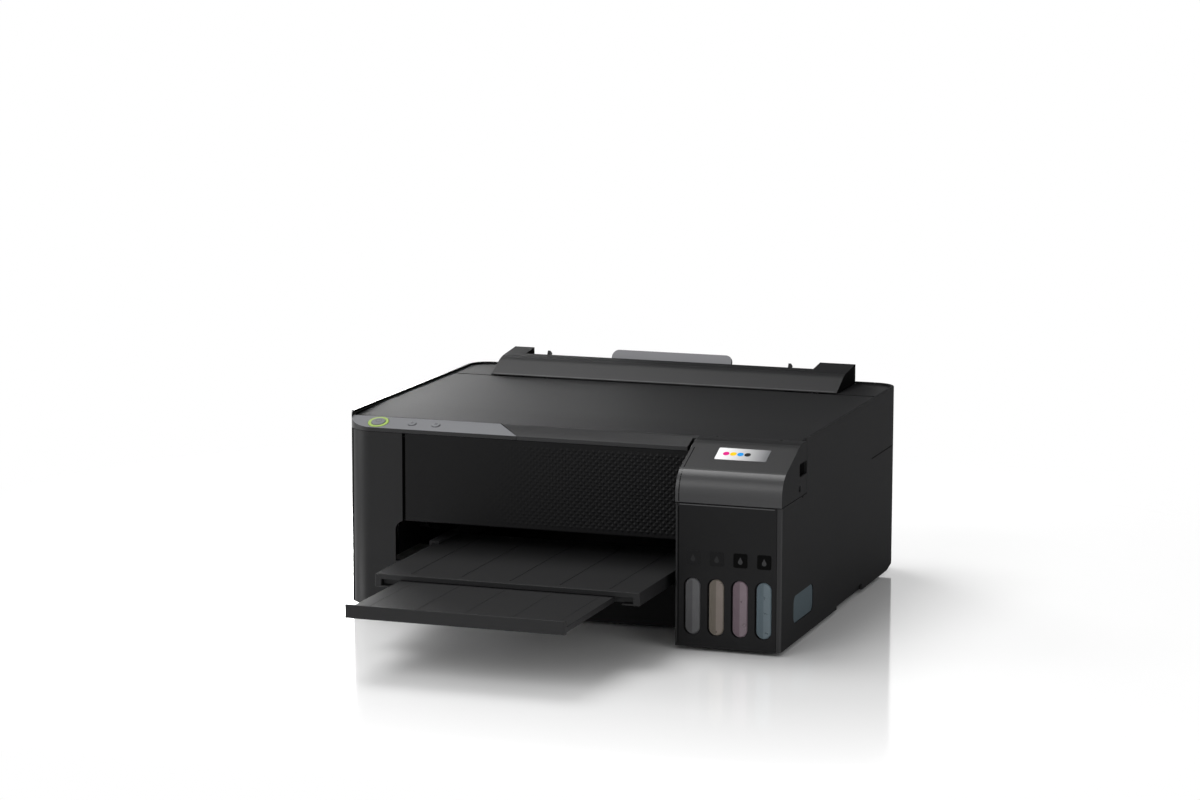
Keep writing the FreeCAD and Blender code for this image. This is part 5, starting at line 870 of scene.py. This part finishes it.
@dataclass
class ControlStrip(Assembly):
    """The grey strip with the power key, its lit ring and two small keys."""

    edge: float = 0.4
    key_edge: float = 0.6
    sign_radius: float = 2.5
    sign_line: float = 0.5
    sign_open: float = 35.0
    sign_steps: int = 28
    stem: Point = (0.3, 1.15)
    drop_height: float = 3.6
    sheet_size: Point = (2.3, 3.0)
    sheet_fold: float = 0.8
    print_height: float = 0.05

    def build(self) -> None:
        """Finishes the strip and its keys, and prints a sign on each key."""
        # Painted shade: the strip's upright walls take the black satin finish, the dark line of the shadow
        # gap under its edges.
        self.dress(["control_panel"], STRIP_ABS, self.edge, {Facing.UPRIGHT: SATIN_ABS})
        self.dress(["power_ring"], RING_ACRYLIC)
        for sign in Sign:
            key = f"{sign.value}_button"
            self.dress([key], BUTTON_ABS, self.key_edge)
            low, high = box_mm(key)
            top = seat(key, (low + high) / 2 + UP * CLEAR, -UP)
            drawn = prism(f"{key}_sign", top, self.outlines(sign), -self.print_height, self.print_height)
            self.carry(drawn, SIGN_INK, key, "button_plastic")

    def outlines(self, sign: Sign) -> list[list[Point]]:
        """The outlines of one sign, about the key's middle."""
        if sign is Sign.DROP:
            return [droplet(self.drop_height)]
        if sign is Sign.SHEET:
            half, tall = (side / 2 for side in self.sheet_size)
            corner = [(half, tall - self.sheet_fold), (half - self.sheet_fold, tall)]
            return [[(-half, -tall), (half, -tall), *corner, (-half, tall)]]
        turn = (90 + self.sign_open, 360 - 2 * self.sign_open, self.sign_steps)
        ring = arc(self.sign_radius, *turn) + arc(self.sign_radius - self.sign_line, *turn)[::-1]
        half = self.sign_line / 2
        foot, head = (share * self.sign_radius for share in self.stem)
        return [ring, [(-half, foot), (half, foot), (half, head), (-half, head)]]


@dataclass(frozen=True)
class InkLook:
    """How one ink's tank, window, mark and spot look."""

    name: str
    tint: str
    # clear: the paler tint of the window's right band, a painted highlight, and of the level dots.
    clear: str
    dot: str
    mark: Finish
    drop: Finish

    def tank(self) -> Finish:
        """Polypropylene in front of the ink, with a grey cast of the ink behind it."""
        return ClearPlastic(f"polypropylene_{self.name}_ink", self.tint, 0.34)

    def pale(self) -> Finish:
        """A paler copy of the tank's polypropylene: a painted highlight on the window's right band, and the
        colour of the level dots.
        """
        return ClearPlastic(f"polypropylene_{self.name}_highlight_and_dots", self.clear, 0.3)

    def spot(self) -> Finish:
        """Screen print in the ink's own colour, flat and without shine."""
        return MouldedPlastic(f"ink_print_{self.name}", self.dot, 0.6, relief=0.003, specular=0.1)


class Ink(Enum):
    """The four inks, from left to right."""

    BLACK = InkLook("black", "#3e3e40", "#535355", "#1b1b1c", MARK_PAINTED_LIGHT, MARK_FAINT)
    YELLOW = InkLook("yellow", "#5c544a", "#776d66", "#f2c200", MARK_PAINTED_HALF_LIGHT, MARK_FAINT)
    MAGENTA = InkLook("magenta", "#5d4c55", "#75676e", "#d5127f", MARK_BLACK, MARK_DROP)
    CYAN = InkLook("cyan", "#43535b", "#58666d", "#1490dd", MARK_BLACK, MARK_DROP)


@dataclass
class TankUnit(Assembly):
    """The ink tanks with their housing, cover, caps, windows and marks."""

    edge: float = 0.6
    cap_edge: float = 0.3
    root: float = 0.1
    pane: Point = (11.3, 42.5)
    pane_height: float = 34.25
    pane_rise: float = 0.35
    pane_edge: float = 0.3
    pale_start: float = -0.4
    pale_edge: float = 0.7
    pale_rise: float = 0.06
    pale_steps: int = 14
    level_dots: int = 9
    dot_radius: float = 0.34
    dot_inset: float = 1.1
    dot_rise: float = 0.14
    dot_steps: int = 12
    mark: float = 11.0
    mark_round: float = 1.5
    mark_edge: float = 0.15
    mark_height: float = 71.25
    mark_rise: float = 0.25
    drop_height: float = 5.6
    cheek: float = 2.8
    line_width: float = 0.7
    line_rise: float = 0.02
    shine_width: float = 1.1
    shine_rise: float = 0.15
    seam_drop: float = 1.4
    right_inset: float = 3.0
    nose_step: float = 1.5
    nose_steps: int = 24
    plate_x: Point = (127.0, 167.5)
    plate_y: Point = (25.0, 40.0)
    shade_width: float = 1.0
    opening_gap: float = 0.5
    plate_rise: float = 0.3
    plate_round: float = 1.0
    plate_edge: float = 0.12
    spot_radius: float = 2.5
    spot_step: float = 5.6
    spot_start: float = -13.0

    def build(self) -> None:
        """Finishes the tank unit and puts on its windows, marks and plate."""
        self.dress(["tank_housing"], TANK_PC, self.edge)
        parts = {Facing.FRONT: SLOPE_ABS, Facing.NOSE: NOSE_ABS, Facing.RIGHT_END: CASE_ABS}
        self.dress(["tank_cover"], COVER_ABS, self.edge, parts)
        for look in (ink.value for ink in Ink):
            tank, cap = f"{look.name}_ink_tank", f"{look.name}_tank_cap"
            # The tanks' right ends take the darker cyan colour, painted shade seen through the side window.
            self.dress([tank], look.tank(), others={Facing.RIGHT_END: CYAN_PAINTED_SHADE})
            self.dress([cap], INNER_PS, self.cap_edge)
            low, high = box_mm(cap)
            middle = (low.x + high.x) / 2
            front = seat("tank_housing", (middle, -CLEAR, self.mark_height), BACK)
            self.window(look, seat(tank, (middle, -CLEAR, self.pane_height), BACK))
            self.shade(look, front)
            self.sign(look, front)
        self.plate()
        self.edges()

    def window(self, look: InkLook, nose: Plane) -> None:
        """The tank's moulded window, a paler band over its right part as a painted highlight, and the level
        dots on it.

        Args:
            look: the looks of the ink behind the window.
            nose: the plane of the tank's front.
        """
        width, height = self.pane
        slot, rise = f"{look.name}_tank_plastic", self.pane_rise
        pane = prism(f"{look.name}_window", nose, [stadium(width, height)], -self.root, rise)
        round_edges(pane, self.pane_edge)
        self.carry(pane, look.tank(), "case", slot)
        # The band over the window's right part is a painted highlight: a paler tint where the light catches
        # that half.
        radius, straight = width / 2 - self.pale_edge, (height - width) / 2
        step = (radius - self.pale_start) / self.pale_steps
        across = [self.pale_start + step * k for k in range(self.pale_steps + 1)]
        arch = [(u, straight + math.sqrt(max(radius * radius - u * u, 0.0))) for u in across]
        band = [(u, -v) for u, v in arch] + arch[::-1]
        strip = prism(f"{look.name}_window_highlight_band", nose, [band], rise - SINK, rise + self.pale_rise)
        self.carry(strip, look.pale(), "case", slot)
        levels = [straight * (2 * k / (self.level_dots - 1) - 1) for k in range(self.level_dots)]
        column = self.pale_start + self.dot_inset
        dots = [circle(self.dot_radius, (column, v), self.dot_steps) for v in levels]
        raised = prism(f"{look.name}_level_dots", nose, dots, rise, rise + self.dot_rise)
        self.carry(raised, look.pale(), "case", slot)

    def shade(self, look: InkLook, front: Plane) -> None:
        """Painted shade: a dark crescent along the left rim of the opening round a window, on the unit's
        front, where the recess is in shadow.
        """
        width, height = self.pane
        drop = self.pane_height - self.mark_height
        rim = [(u, v + drop) for u, v in left_half(width / 2 + self.opening_gap, (height - width) / 2)]
        crescent = [(u - self.shade_width, v) for u, v in rim] + rim[::-1]
        made = prism(f"{look.name}_window_shade", front, [crescent], -SINK, SINK)
        self.carry(made, PAINTED_SHADE_BLACK, "case", "tank_gloss")

    def sign(self, look: InkLook, front: Plane) -> None:
        """The square mark over a window, with a drop on it.

        Args:
            look: the looks of the ink that it marks.
            front: the plane of the unit's front at the mark.
        """
        rise = self.mark_rise
        outline = rounded_box(self.mark, self.mark, self.mark_round)
        square = prism(f"{look.name}_mark", front, [outline], -self.root, rise)
        round_edges(square, self.mark_edge)
        self.carry(square, look.mark, "case", "tank_gloss")
        outline = droplet(self.drop_height)
        drop = prism(f"{look.name}_mark_drop", front, [outline], rise - SINK, rise + SINK)
        self.carry(drop, look.drop, "case", "tank_gloss")

    def edges(self) -> None:
        """The painted shade lines down the left cheek of the unit and of its cover, a raised band of
        painted highlight beside them, and a pale painted highlight edge under the cover's seam.
        """
        low, high = box_mm("tank_housing")
        seam = box_mm("tank_cover")[0].z
        cheek = low.x + self.cheek
        foot, head = low.z + self.cheek, seam - self.cheek
        fine, broad = self.line_width, self.shine_width
        rim, under = cheek - self.cheek / 2, seam - self.seam_drop
        last = high.x - self.right_inset
        lines = (
            ("tank_cheek_shade_line", ((cheek, foot), (cheek, head)), fine, self.line_rise, PAINTED_SHADE_BLACK),
            ("tank_cheek_highlight", ((rim, foot), (rim, head)), broad, self.shine_rise, SATIN_ABS),
            ("tank_seam_highlight", ((cheek + fine, under), (last, under)), fine, self.shine_rise, EDGE_HIGHLIGHT_ABS),
        )
        for name, ends, width, rise, finish in lines:
            run = [(x, -CLEAR, z) for x, z in ends]
            self.carry(ribbon(name, "tank_housing", run, BACK, width, rise), finish, "case", "tank_gloss")
        run = [(cheek, -CLEAR, seam + fine + self.nose_step * k) for k in range(self.nose_steps)]
        curve = ribbon("cover_cheek_shade_line", "tank_cover", run, BACK, fine, self.line_rise)
        self.carry(curve, PAINTED_SHADE_BLACK, "tank_cover", "cover_plastic")

    def plate(self) -> None:
        """The pale plate on the cover's slope, with one spot for each ink."""
        centre_x = sum(self.plate_x) / 2
        centre_y = box_mm("tank_cover")[0].y + sum(self.plate_y) / 2
        slope = seat("tank_cover", (centre_x, centre_y, CLEAR), -UP)
        length = (self.plate_y[1] - self.plate_y[0]) / slope.up.y
        outline = rounded_box(self.plate_x[1] - self.plate_x[0], length, self.plate_round)
        rise = self.plate_rise
        made = prism("ink_plate", slope, [outline], -self.root, rise)
        round_edges(made, self.plate_edge)
        self.carry(made, PLATE_PRINT, "tank_cover", "tank_gloss")
        order = (Ink.MAGENTA, Ink.YELLOW, Ink.CYAN, Ink.BLACK)
        for place, look in enumerate(ink.value for ink in order):
            outline = circle(self.spot_radius, (self.spot_start + place * self.spot_step, 0.0))
            spot = prism(f"{look.name}_plate_spot", slope, [outline], rise - SINK, rise + SINK)
            self.carry(spot, look.spot(), "tank_cover", "tank_gloss")


@dataclass
class RearFeeder(Assembly):
    """The hood, paper support, edge guides and pick-up parts at the rear."""

    edge: float = 0.6
    guide_edge: float = 0.3
    base_inset: float = 5.0
    base_step: float = 0.9
    base_width: float = 0.9
    base_rise: float = 0.1

    def build(self) -> None:
        """Finishes the feeder."""
        # The guard's and the support's right end faces take painted shade, as they turn from the lamps.
        ends = {Facing.FRONT: SATIN_ABS, Facing.RIGHT_END: PAINTED_SHADE_BLACK}
        self.dress(["feeder_guard"], COVER_ABS, self.edge, ends)
        self.dress(["paper_support"], SUPPORT_ABS, self.edge, {Facing.RIGHT_END: PAINTED_SHADE_BLACK})
        # A painted highlight: a thin pale line along the base of the guard's front.
        low, high = box_mm("feeder_guard")
        sides = (low.x + self.base_inset, high.x - self.base_inset)
        run = [(x, low.y + self.base_step, high.z + CLEAR) for x in sides]
        base = ribbon("guard_base_highlight", "feeder_guard", run, -UP, self.base_width, self.base_rise)
        self.carry(base, EDGE_HIGHLIGHT_ABS, "feeder_guard", "cover_plastic")
        inner = ["left_edge_guide", "right_edge_guide", "feed_frame", "hopper"]
        self.dress(inner, INNER_PS, self.guide_edge)
        self.dress(["pickup_roller"], INNER_PS)
        self.dress(["pickup_tyre"], RUBBER)


@dataclass
class OutputTray(Assembly):
    """The tray that slides out under the slot, and its extension."""

    edge: float = 0.5
    ribs: int = 5
    rib_width: float = 1.6
    rib_radius: float = 0.79
    rib_steps: int = 5
    rib_rise: float = 0.25
    rib_inset: float = 26.0
    rib_end: float = 9.0
    extension_rise: float = 0.14

    def build(self) -> None:
        """Finishes the tray and puts the paper ribs on it."""
        self.dress(["output_tray", "tray_extension"], INNER_PS, self.edge)
        self.rib_set("output_tray", self.rib_rise)
        self.rib_set("tray_extension", self.extension_rise)

    def rib_set(self, node: str, rise: float) -> None:
        """Low ribs that run out along a tray, so that a sheet slides easily.

        Args:
            node: the tray's node, which is also its body.
            rise: how far the ribs stand up.
        """
        low, high = box_mm(node)
        top = seat(node, (low + high) / 2 + UP * CLEAR, -UP)
        half = (high.x - low.x) / 2 - self.rib_inset
        length = (high.y - low.y) - 2 * self.rib_end
        bar = rounded_box(self.rib_width, length, self.rib_radius, self.rib_steps)
        shifts = [half * (2 * k / (self.ribs - 1) - 1) for k in range(self.ribs)]
        outlines = [[(u + shift, v) for u, v in bar] for shift in shifts]
        made = prism(f"{node}_ribs", top, outlines, -SINK, rise)
        self.carry(made, INNER_PS, node, "inner_plastic")


@dataclass
class PrintEngine(Assembly):
    """The chassis, carriage, belt, rollers and gears."""

    edge: float = 0.4
    sheet_edge: float = 0.2
    pad_edge: float = 1.0
    rise_room: float = 15.0
    drop_room: float = 5.0
    tube_step: float = 8.0
    tube_cuts: int = 15
    tube_weld: float = 0.005

    def build(self) -> None:
        """Finishes the engine's pieces."""
        self.dress(["main_frame"], FRAME_STEEL, self.sheet_edge)
        self.dress(["drive_motors"], FRAME_STEEL)
        self.dress(["carriage_rod", "feed_roller", "eject_roller"], SHAFT_STEEL)
        self.dress(["carriage", "print_head", "cap_station"], INNER_PS, self.edge)
        # Painted shade: the platen, seen in the slot, is painted dull near-black.
        self.dress(["platen"], PAINTED_SHADE_BLACK, self.edge)
        gears = ["feed_gear", "idler_gear", "eject_gear", "motor_pinion", "drive_pulley", "idler_pulley"]
        self.dress(gears, GEAR_POM)
        self.dress(["timing_belt", "eject_tyres"], RUBBER)
        # Painted shade: the pinch rollers and star wheels in the slot are painted dull near-black.
        self.dress(["pinch_rollers", "star_wheels"], PAINTED_SHADE_BLACK)
        self.dress(["encoder_strip", "ink_tubes"], FILM)
        self.dress(["waste_ink_pad"], FELT, self.pad_edge)
        self.tubes()

    def tubes(self) -> None:
        """The soft ink tubes, remade from the CAD tubes with their long runs cut into short pieces."""
        work = bmesh.new()
        work.from_mesh(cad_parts["ink_tubes"].data)
        bmesh.ops.remove_doubles(work, verts=work.verts, dist=self.tube_weld * MM)
        runs = [edge for edge in work.edges if edge.calc_length() > self.tube_step * MM]
        bmesh.ops.subdivide_edges(work, edges=runs, cuts=self.tube_cuts)
        shape = bpy.data.meshes.new("ink_tube_run")
        work.to_mesh(shape)
        work.free()
        piece = bpy.data.objects.new("ink_tube_run", shape)
        bpy.context.scene.collection.objects.link(piece)
        shape.materials.append(FILM.material())
        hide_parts("ink_tubes")
        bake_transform(piece)
        self.made.append(piece.name)


@dataclass
class Electronics(Assembly):
    """The board, the supply and the two sockets."""

    edge: float = 0.3

    def build(self) -> None:
        """Finishes the electronics."""
        self.dress(["main_board"], BOARD)
        self.dress(["power_supply", "power_inlet"], INNER_PS, self.edge)
        self.dress(["usb_socket"], SHAFT_STEEL)


# Studio


@dataclass(frozen=True)
class Softbox:
    """A soft rectangular lamp."""

    name: str
    place: Place
    target: Place
    size: Point
    watts: float

    def build(self) -> None:
        """Hangs the lamp, facing its target."""
        lamp = bpy.data.lights.new(self.name, "AREA")
        lamp.shape = "RECTANGLE"
        lamp.size, lamp.size_y = self.size
        lamp.energy = self.watts
        made = bpy.data.objects.new(self.name, lamp)
        made.location = self.place
        made.rotation_mode = "QUATERNION"
        made.rotation_quaternion = (Vector(self.target) - made.location).to_track_quat("-Z", "Y")
        made.visible_camera = False
        bpy.context.scene.collection.objects.link(made)


@dataclass
class Studio:
    """The pale floor, the white surround and the lamps."""

    floor_size: float = 14.0
    floor_drop: float = 0.0002
    floor_colour: str = "#f4f4f4"
    floor_roughness: float = 0.08
    floor_ior: float = 1.8
    mirror_reach: float = 0.36
    white_start: float = 0.1
    white_end: float = 0.5
    flag_low: Place = (-0.06, 0.3, 0.155)
    flag_high: Place = (0.155, 0.3, 0.35)
    ambient: float = 0.45
    ceiling: float = 0.12
    ceiling_span: Point = (0.27, 0.36)
    boxes: tuple[Softbox, ...] = (
        Softbox("top_light", (-0.65, 0.35, 1.9), (0.0, 0.0, 0.0), (1.1, 1.2), 24.0),
        Softbox("left_light", (-0.8, 1.05, 0.36), (-0.1, 0.0, 0.15), (0.5, 0.35), 7.5),
        Softbox("right_light", (1.3, -0.8, 0.5), (0.15, 0.0, 0.05), (0.9, 0.9), 5.0),
        Softbox("front_light", (-0.6, -1.6, 1.4), (0.0, -0.1, 0.1), (1.2, 1.0), 13.0),
        Softbox("side_light", (-1.3, -0.5, 0.35), (-0.18, 0.0, 0.1), (0.6, 0.8), 8.0),
    )

    def build(self) -> None:
        """Lays the floor, lights the world and hangs the lamps."""
        half = self.floor_size / 2
        corners = ((-half, -half), (half, -half), (half, half), (-half, half))
        floor = mesh_object("floor", [Vector((x, y, -self.floor_drop)) for x, y in corners], [range(4)])
        floor.data.materials.append(self.floor_paint())
        self.flag()
        self.surround()
        for softbox in self.boxes:
            softbox.build()
        bpy.context.scene.view_settings.view_transform = "Standard"

    def flag(self) -> None:
        """A black card behind the printer that keeps the surround's shine off the right of its top."""
        low, high = self.flag_low, self.flag_high
        corners = (low, (high[0], low[1], low[2]), high, (low[0], high[1], high[2]))
        card = mesh_object("flag", [Vector(corner) for corner in corners], [range(4)])
        card.data.materials.append(RUBBER.material())
        card.visible_camera = False
        card.visible_diffuse = False
        card.visible_shadow = False

    def floor_paint(self) -> bpy.types.Material:
        """Pale floor that mirrors the object beside it and runs out into the white surround."""
        made = bpy.data.materials.new("floor_pale_polished")
        made.use_nodes = True
        tree = made.node_tree
        tree.nodes.clear()
        low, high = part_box("lower_case")
        away = add_node(tree, "ShaderNodeTexCoord").outputs["Object"]
        # How far a place lies beyond the printer's own rectangle.
        steps = (
            ("SUBTRACT", (low + high) / 2),
            ("ABSOLUTE", Vector()),
            ("SUBTRACT", (high - low) / 2),
            ("MAXIMUM", Vector()),
        )
        for work, other in steps:
            away = add_node(tree, "ShaderNodeVectorMath", {0: away, 1: other}, operation=work).outputs[0]
        away = add_node(tree, "ShaderNodeVectorMath", {0: away}, operation="LENGTH").outputs["Value"]
        near = {"Value": away, "From Max": self.mirror_reach, "To Min": 1.0, "To Max": 0.0}
        paint = {
            "Base Color": linear(self.floor_colour),
            "Roughness": self.floor_roughness,
            "IOR": self.floor_ior,
            "Specular IOR Level": add_node(tree, "ShaderNodeMapRange", near).outputs[0],
        }
        polished = add_node(tree, "ShaderNodeBsdfPrincipled", paint)
        white = add_node(tree, "ShaderNodeEmission", {"Color": linear("#ffffff"), "Strength": 1.0})
        far = {"Value": away, "From Min": self.white_start, "From Max": self.white_end}
        outer = add_node(tree, "ShaderNodeMapRange", far, interpolation_type="SMOOTHSTEP")
        path = add_node(tree, "ShaderNodeLightPath")
        seen = path.outputs["Is Camera Ray"]
        for ray in ("Is Glossy Ray", "Is Transmission Ray"):
            either = {0: seen, 1: path.outputs[ray]}
            seen = add_node(tree, "ShaderNodeMath", either, operation="MAXIMUM").outputs[0]
        bright = add_node(tree, "ShaderNodeMath", {0: outer.outputs[0], 1: seen}, operation="MULTIPLY")
        both = {0: bright.outputs[0], 1: polished.outputs[0], 2: white.outputs[0]}
        blend = add_node(tree, "ShaderNodeMixShader", both)
        add_node(tree, "ShaderNodeOutputMaterial", {"Surface": blend.outputs[0]})
        return made

    def surround(self) -> None:
        """White to the eye and white near the horizon in mirrors, with a darker ceiling and a dim light."""
        world = bpy.data.worlds.new("surround")
        world.use_nodes = True
        bpy.context.scene.world = world
        tree = world.node_tree
        tree.nodes.clear()
        path = add_node(tree, "ShaderNodeLightPath").outputs
        place = add_node(tree, "ShaderNodeTexCoord").outputs["Generated"]
        height = add_node(tree, "ShaderNodeSeparateXYZ", {"Vector": place}).outputs[2]
        start, end = self.ceiling_span
        rise = {"Value": height, "From Min": start, "From Max": end, "To Min": 1.0, "To Max": self.ceiling}
        band = add_node(tree, "ShaderNodeMapRange", rise).outputs[0]
        either = {0: path["Is Glossy Ray"], 1: path["Is Transmission Ray"]}
        mirrored = add_node(tree, "ShaderNodeMath", either, operation="MAXIMUM").outputs[0]
        strength: float | Socket = self.ambient
        for ray, bright in ((mirrored, band), (path["Is Camera Ray"], 1.0)):
            shares = {"Value": ray, "To Min": strength, "To Max": bright}
            strength = add_node(tree, "ShaderNodeMapRange", shares).outputs[0]
        glow = {"Color": linear("#ffffff"), "Strength": strength}
        shade = add_node(tree, "ShaderNodeBackground", glow)
        add_node(tree, "ShaderNodeOutputWorld", {"Surface": shade.outputs[0]})


@dataclass
class PhotoCamera:
    """The camera that took the photograph, fitted to the printer's known edges."""

    place: Place = (915.5, -2632.1, 628.3)
    yaw: float = 18.9
    pitch: float = 9.33
    roll: float = 0.13
    focal_pixels: float = 3632.0
    image_width: float = 1200.0
    sensor: float = 36.0
    reach: float = 50.0

    def build(self) -> None:
        """Sets the camera where the photograph was taken."""
        yaw, pitch, roll = (math.radians(a) for a in (self.yaw, self.pitch, self.roll))
        ahead = Vector(
            (-math.sin(yaw) * math.cos(pitch), math.cos(yaw) * math.cos(pitch), -math.sin(pitch))
        )
        level = Vector((math.cos(yaw), math.sin(yaw), 0.0))
        upright = level.cross(ahead)
        across = level * math.cos(roll) + upright * math.sin(roll)
        up = upright * math.cos(roll) - level * math.sin(roll)
        data = bpy.data.cameras.new("photo_camera")
        data.sensor_width = self.sensor
        data.lens = self.focal_pixels / self.image_width * self.sensor
        data.clip_end = self.reach
        made = bpy.data.objects.new("photo_camera", data)
        turn = Matrix((across, up, -ahead)).transposed().to_4x4()
        made.matrix_world = Matrix.Translation(Vector(self.place) * MM) @ turn
        bpy.context.scene.collection.objects.link(made)
        bpy.context.scene.camera = made


def main() -> None:
    """Builds the printer's looks, the studio and the camera, and logs the pieces of each group."""
    logging.basicConfig(level=logging.INFO, format="%(name)s %(message)s")
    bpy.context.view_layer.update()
    groups: list[Assembly] = [
        Case(), TopCover(), FrontPanel(), ControlStrip(), TankUnit(), RearFeeder(), OutputTray(),
        PrintEngine(), Electronics(),
    ]
    for group in groups:
        group.build()
        group.report()
    Studio().build()
    PhotoCamera().build()
    bpy.context.view_layer.update()


if __name__ == "__main__":
    main()
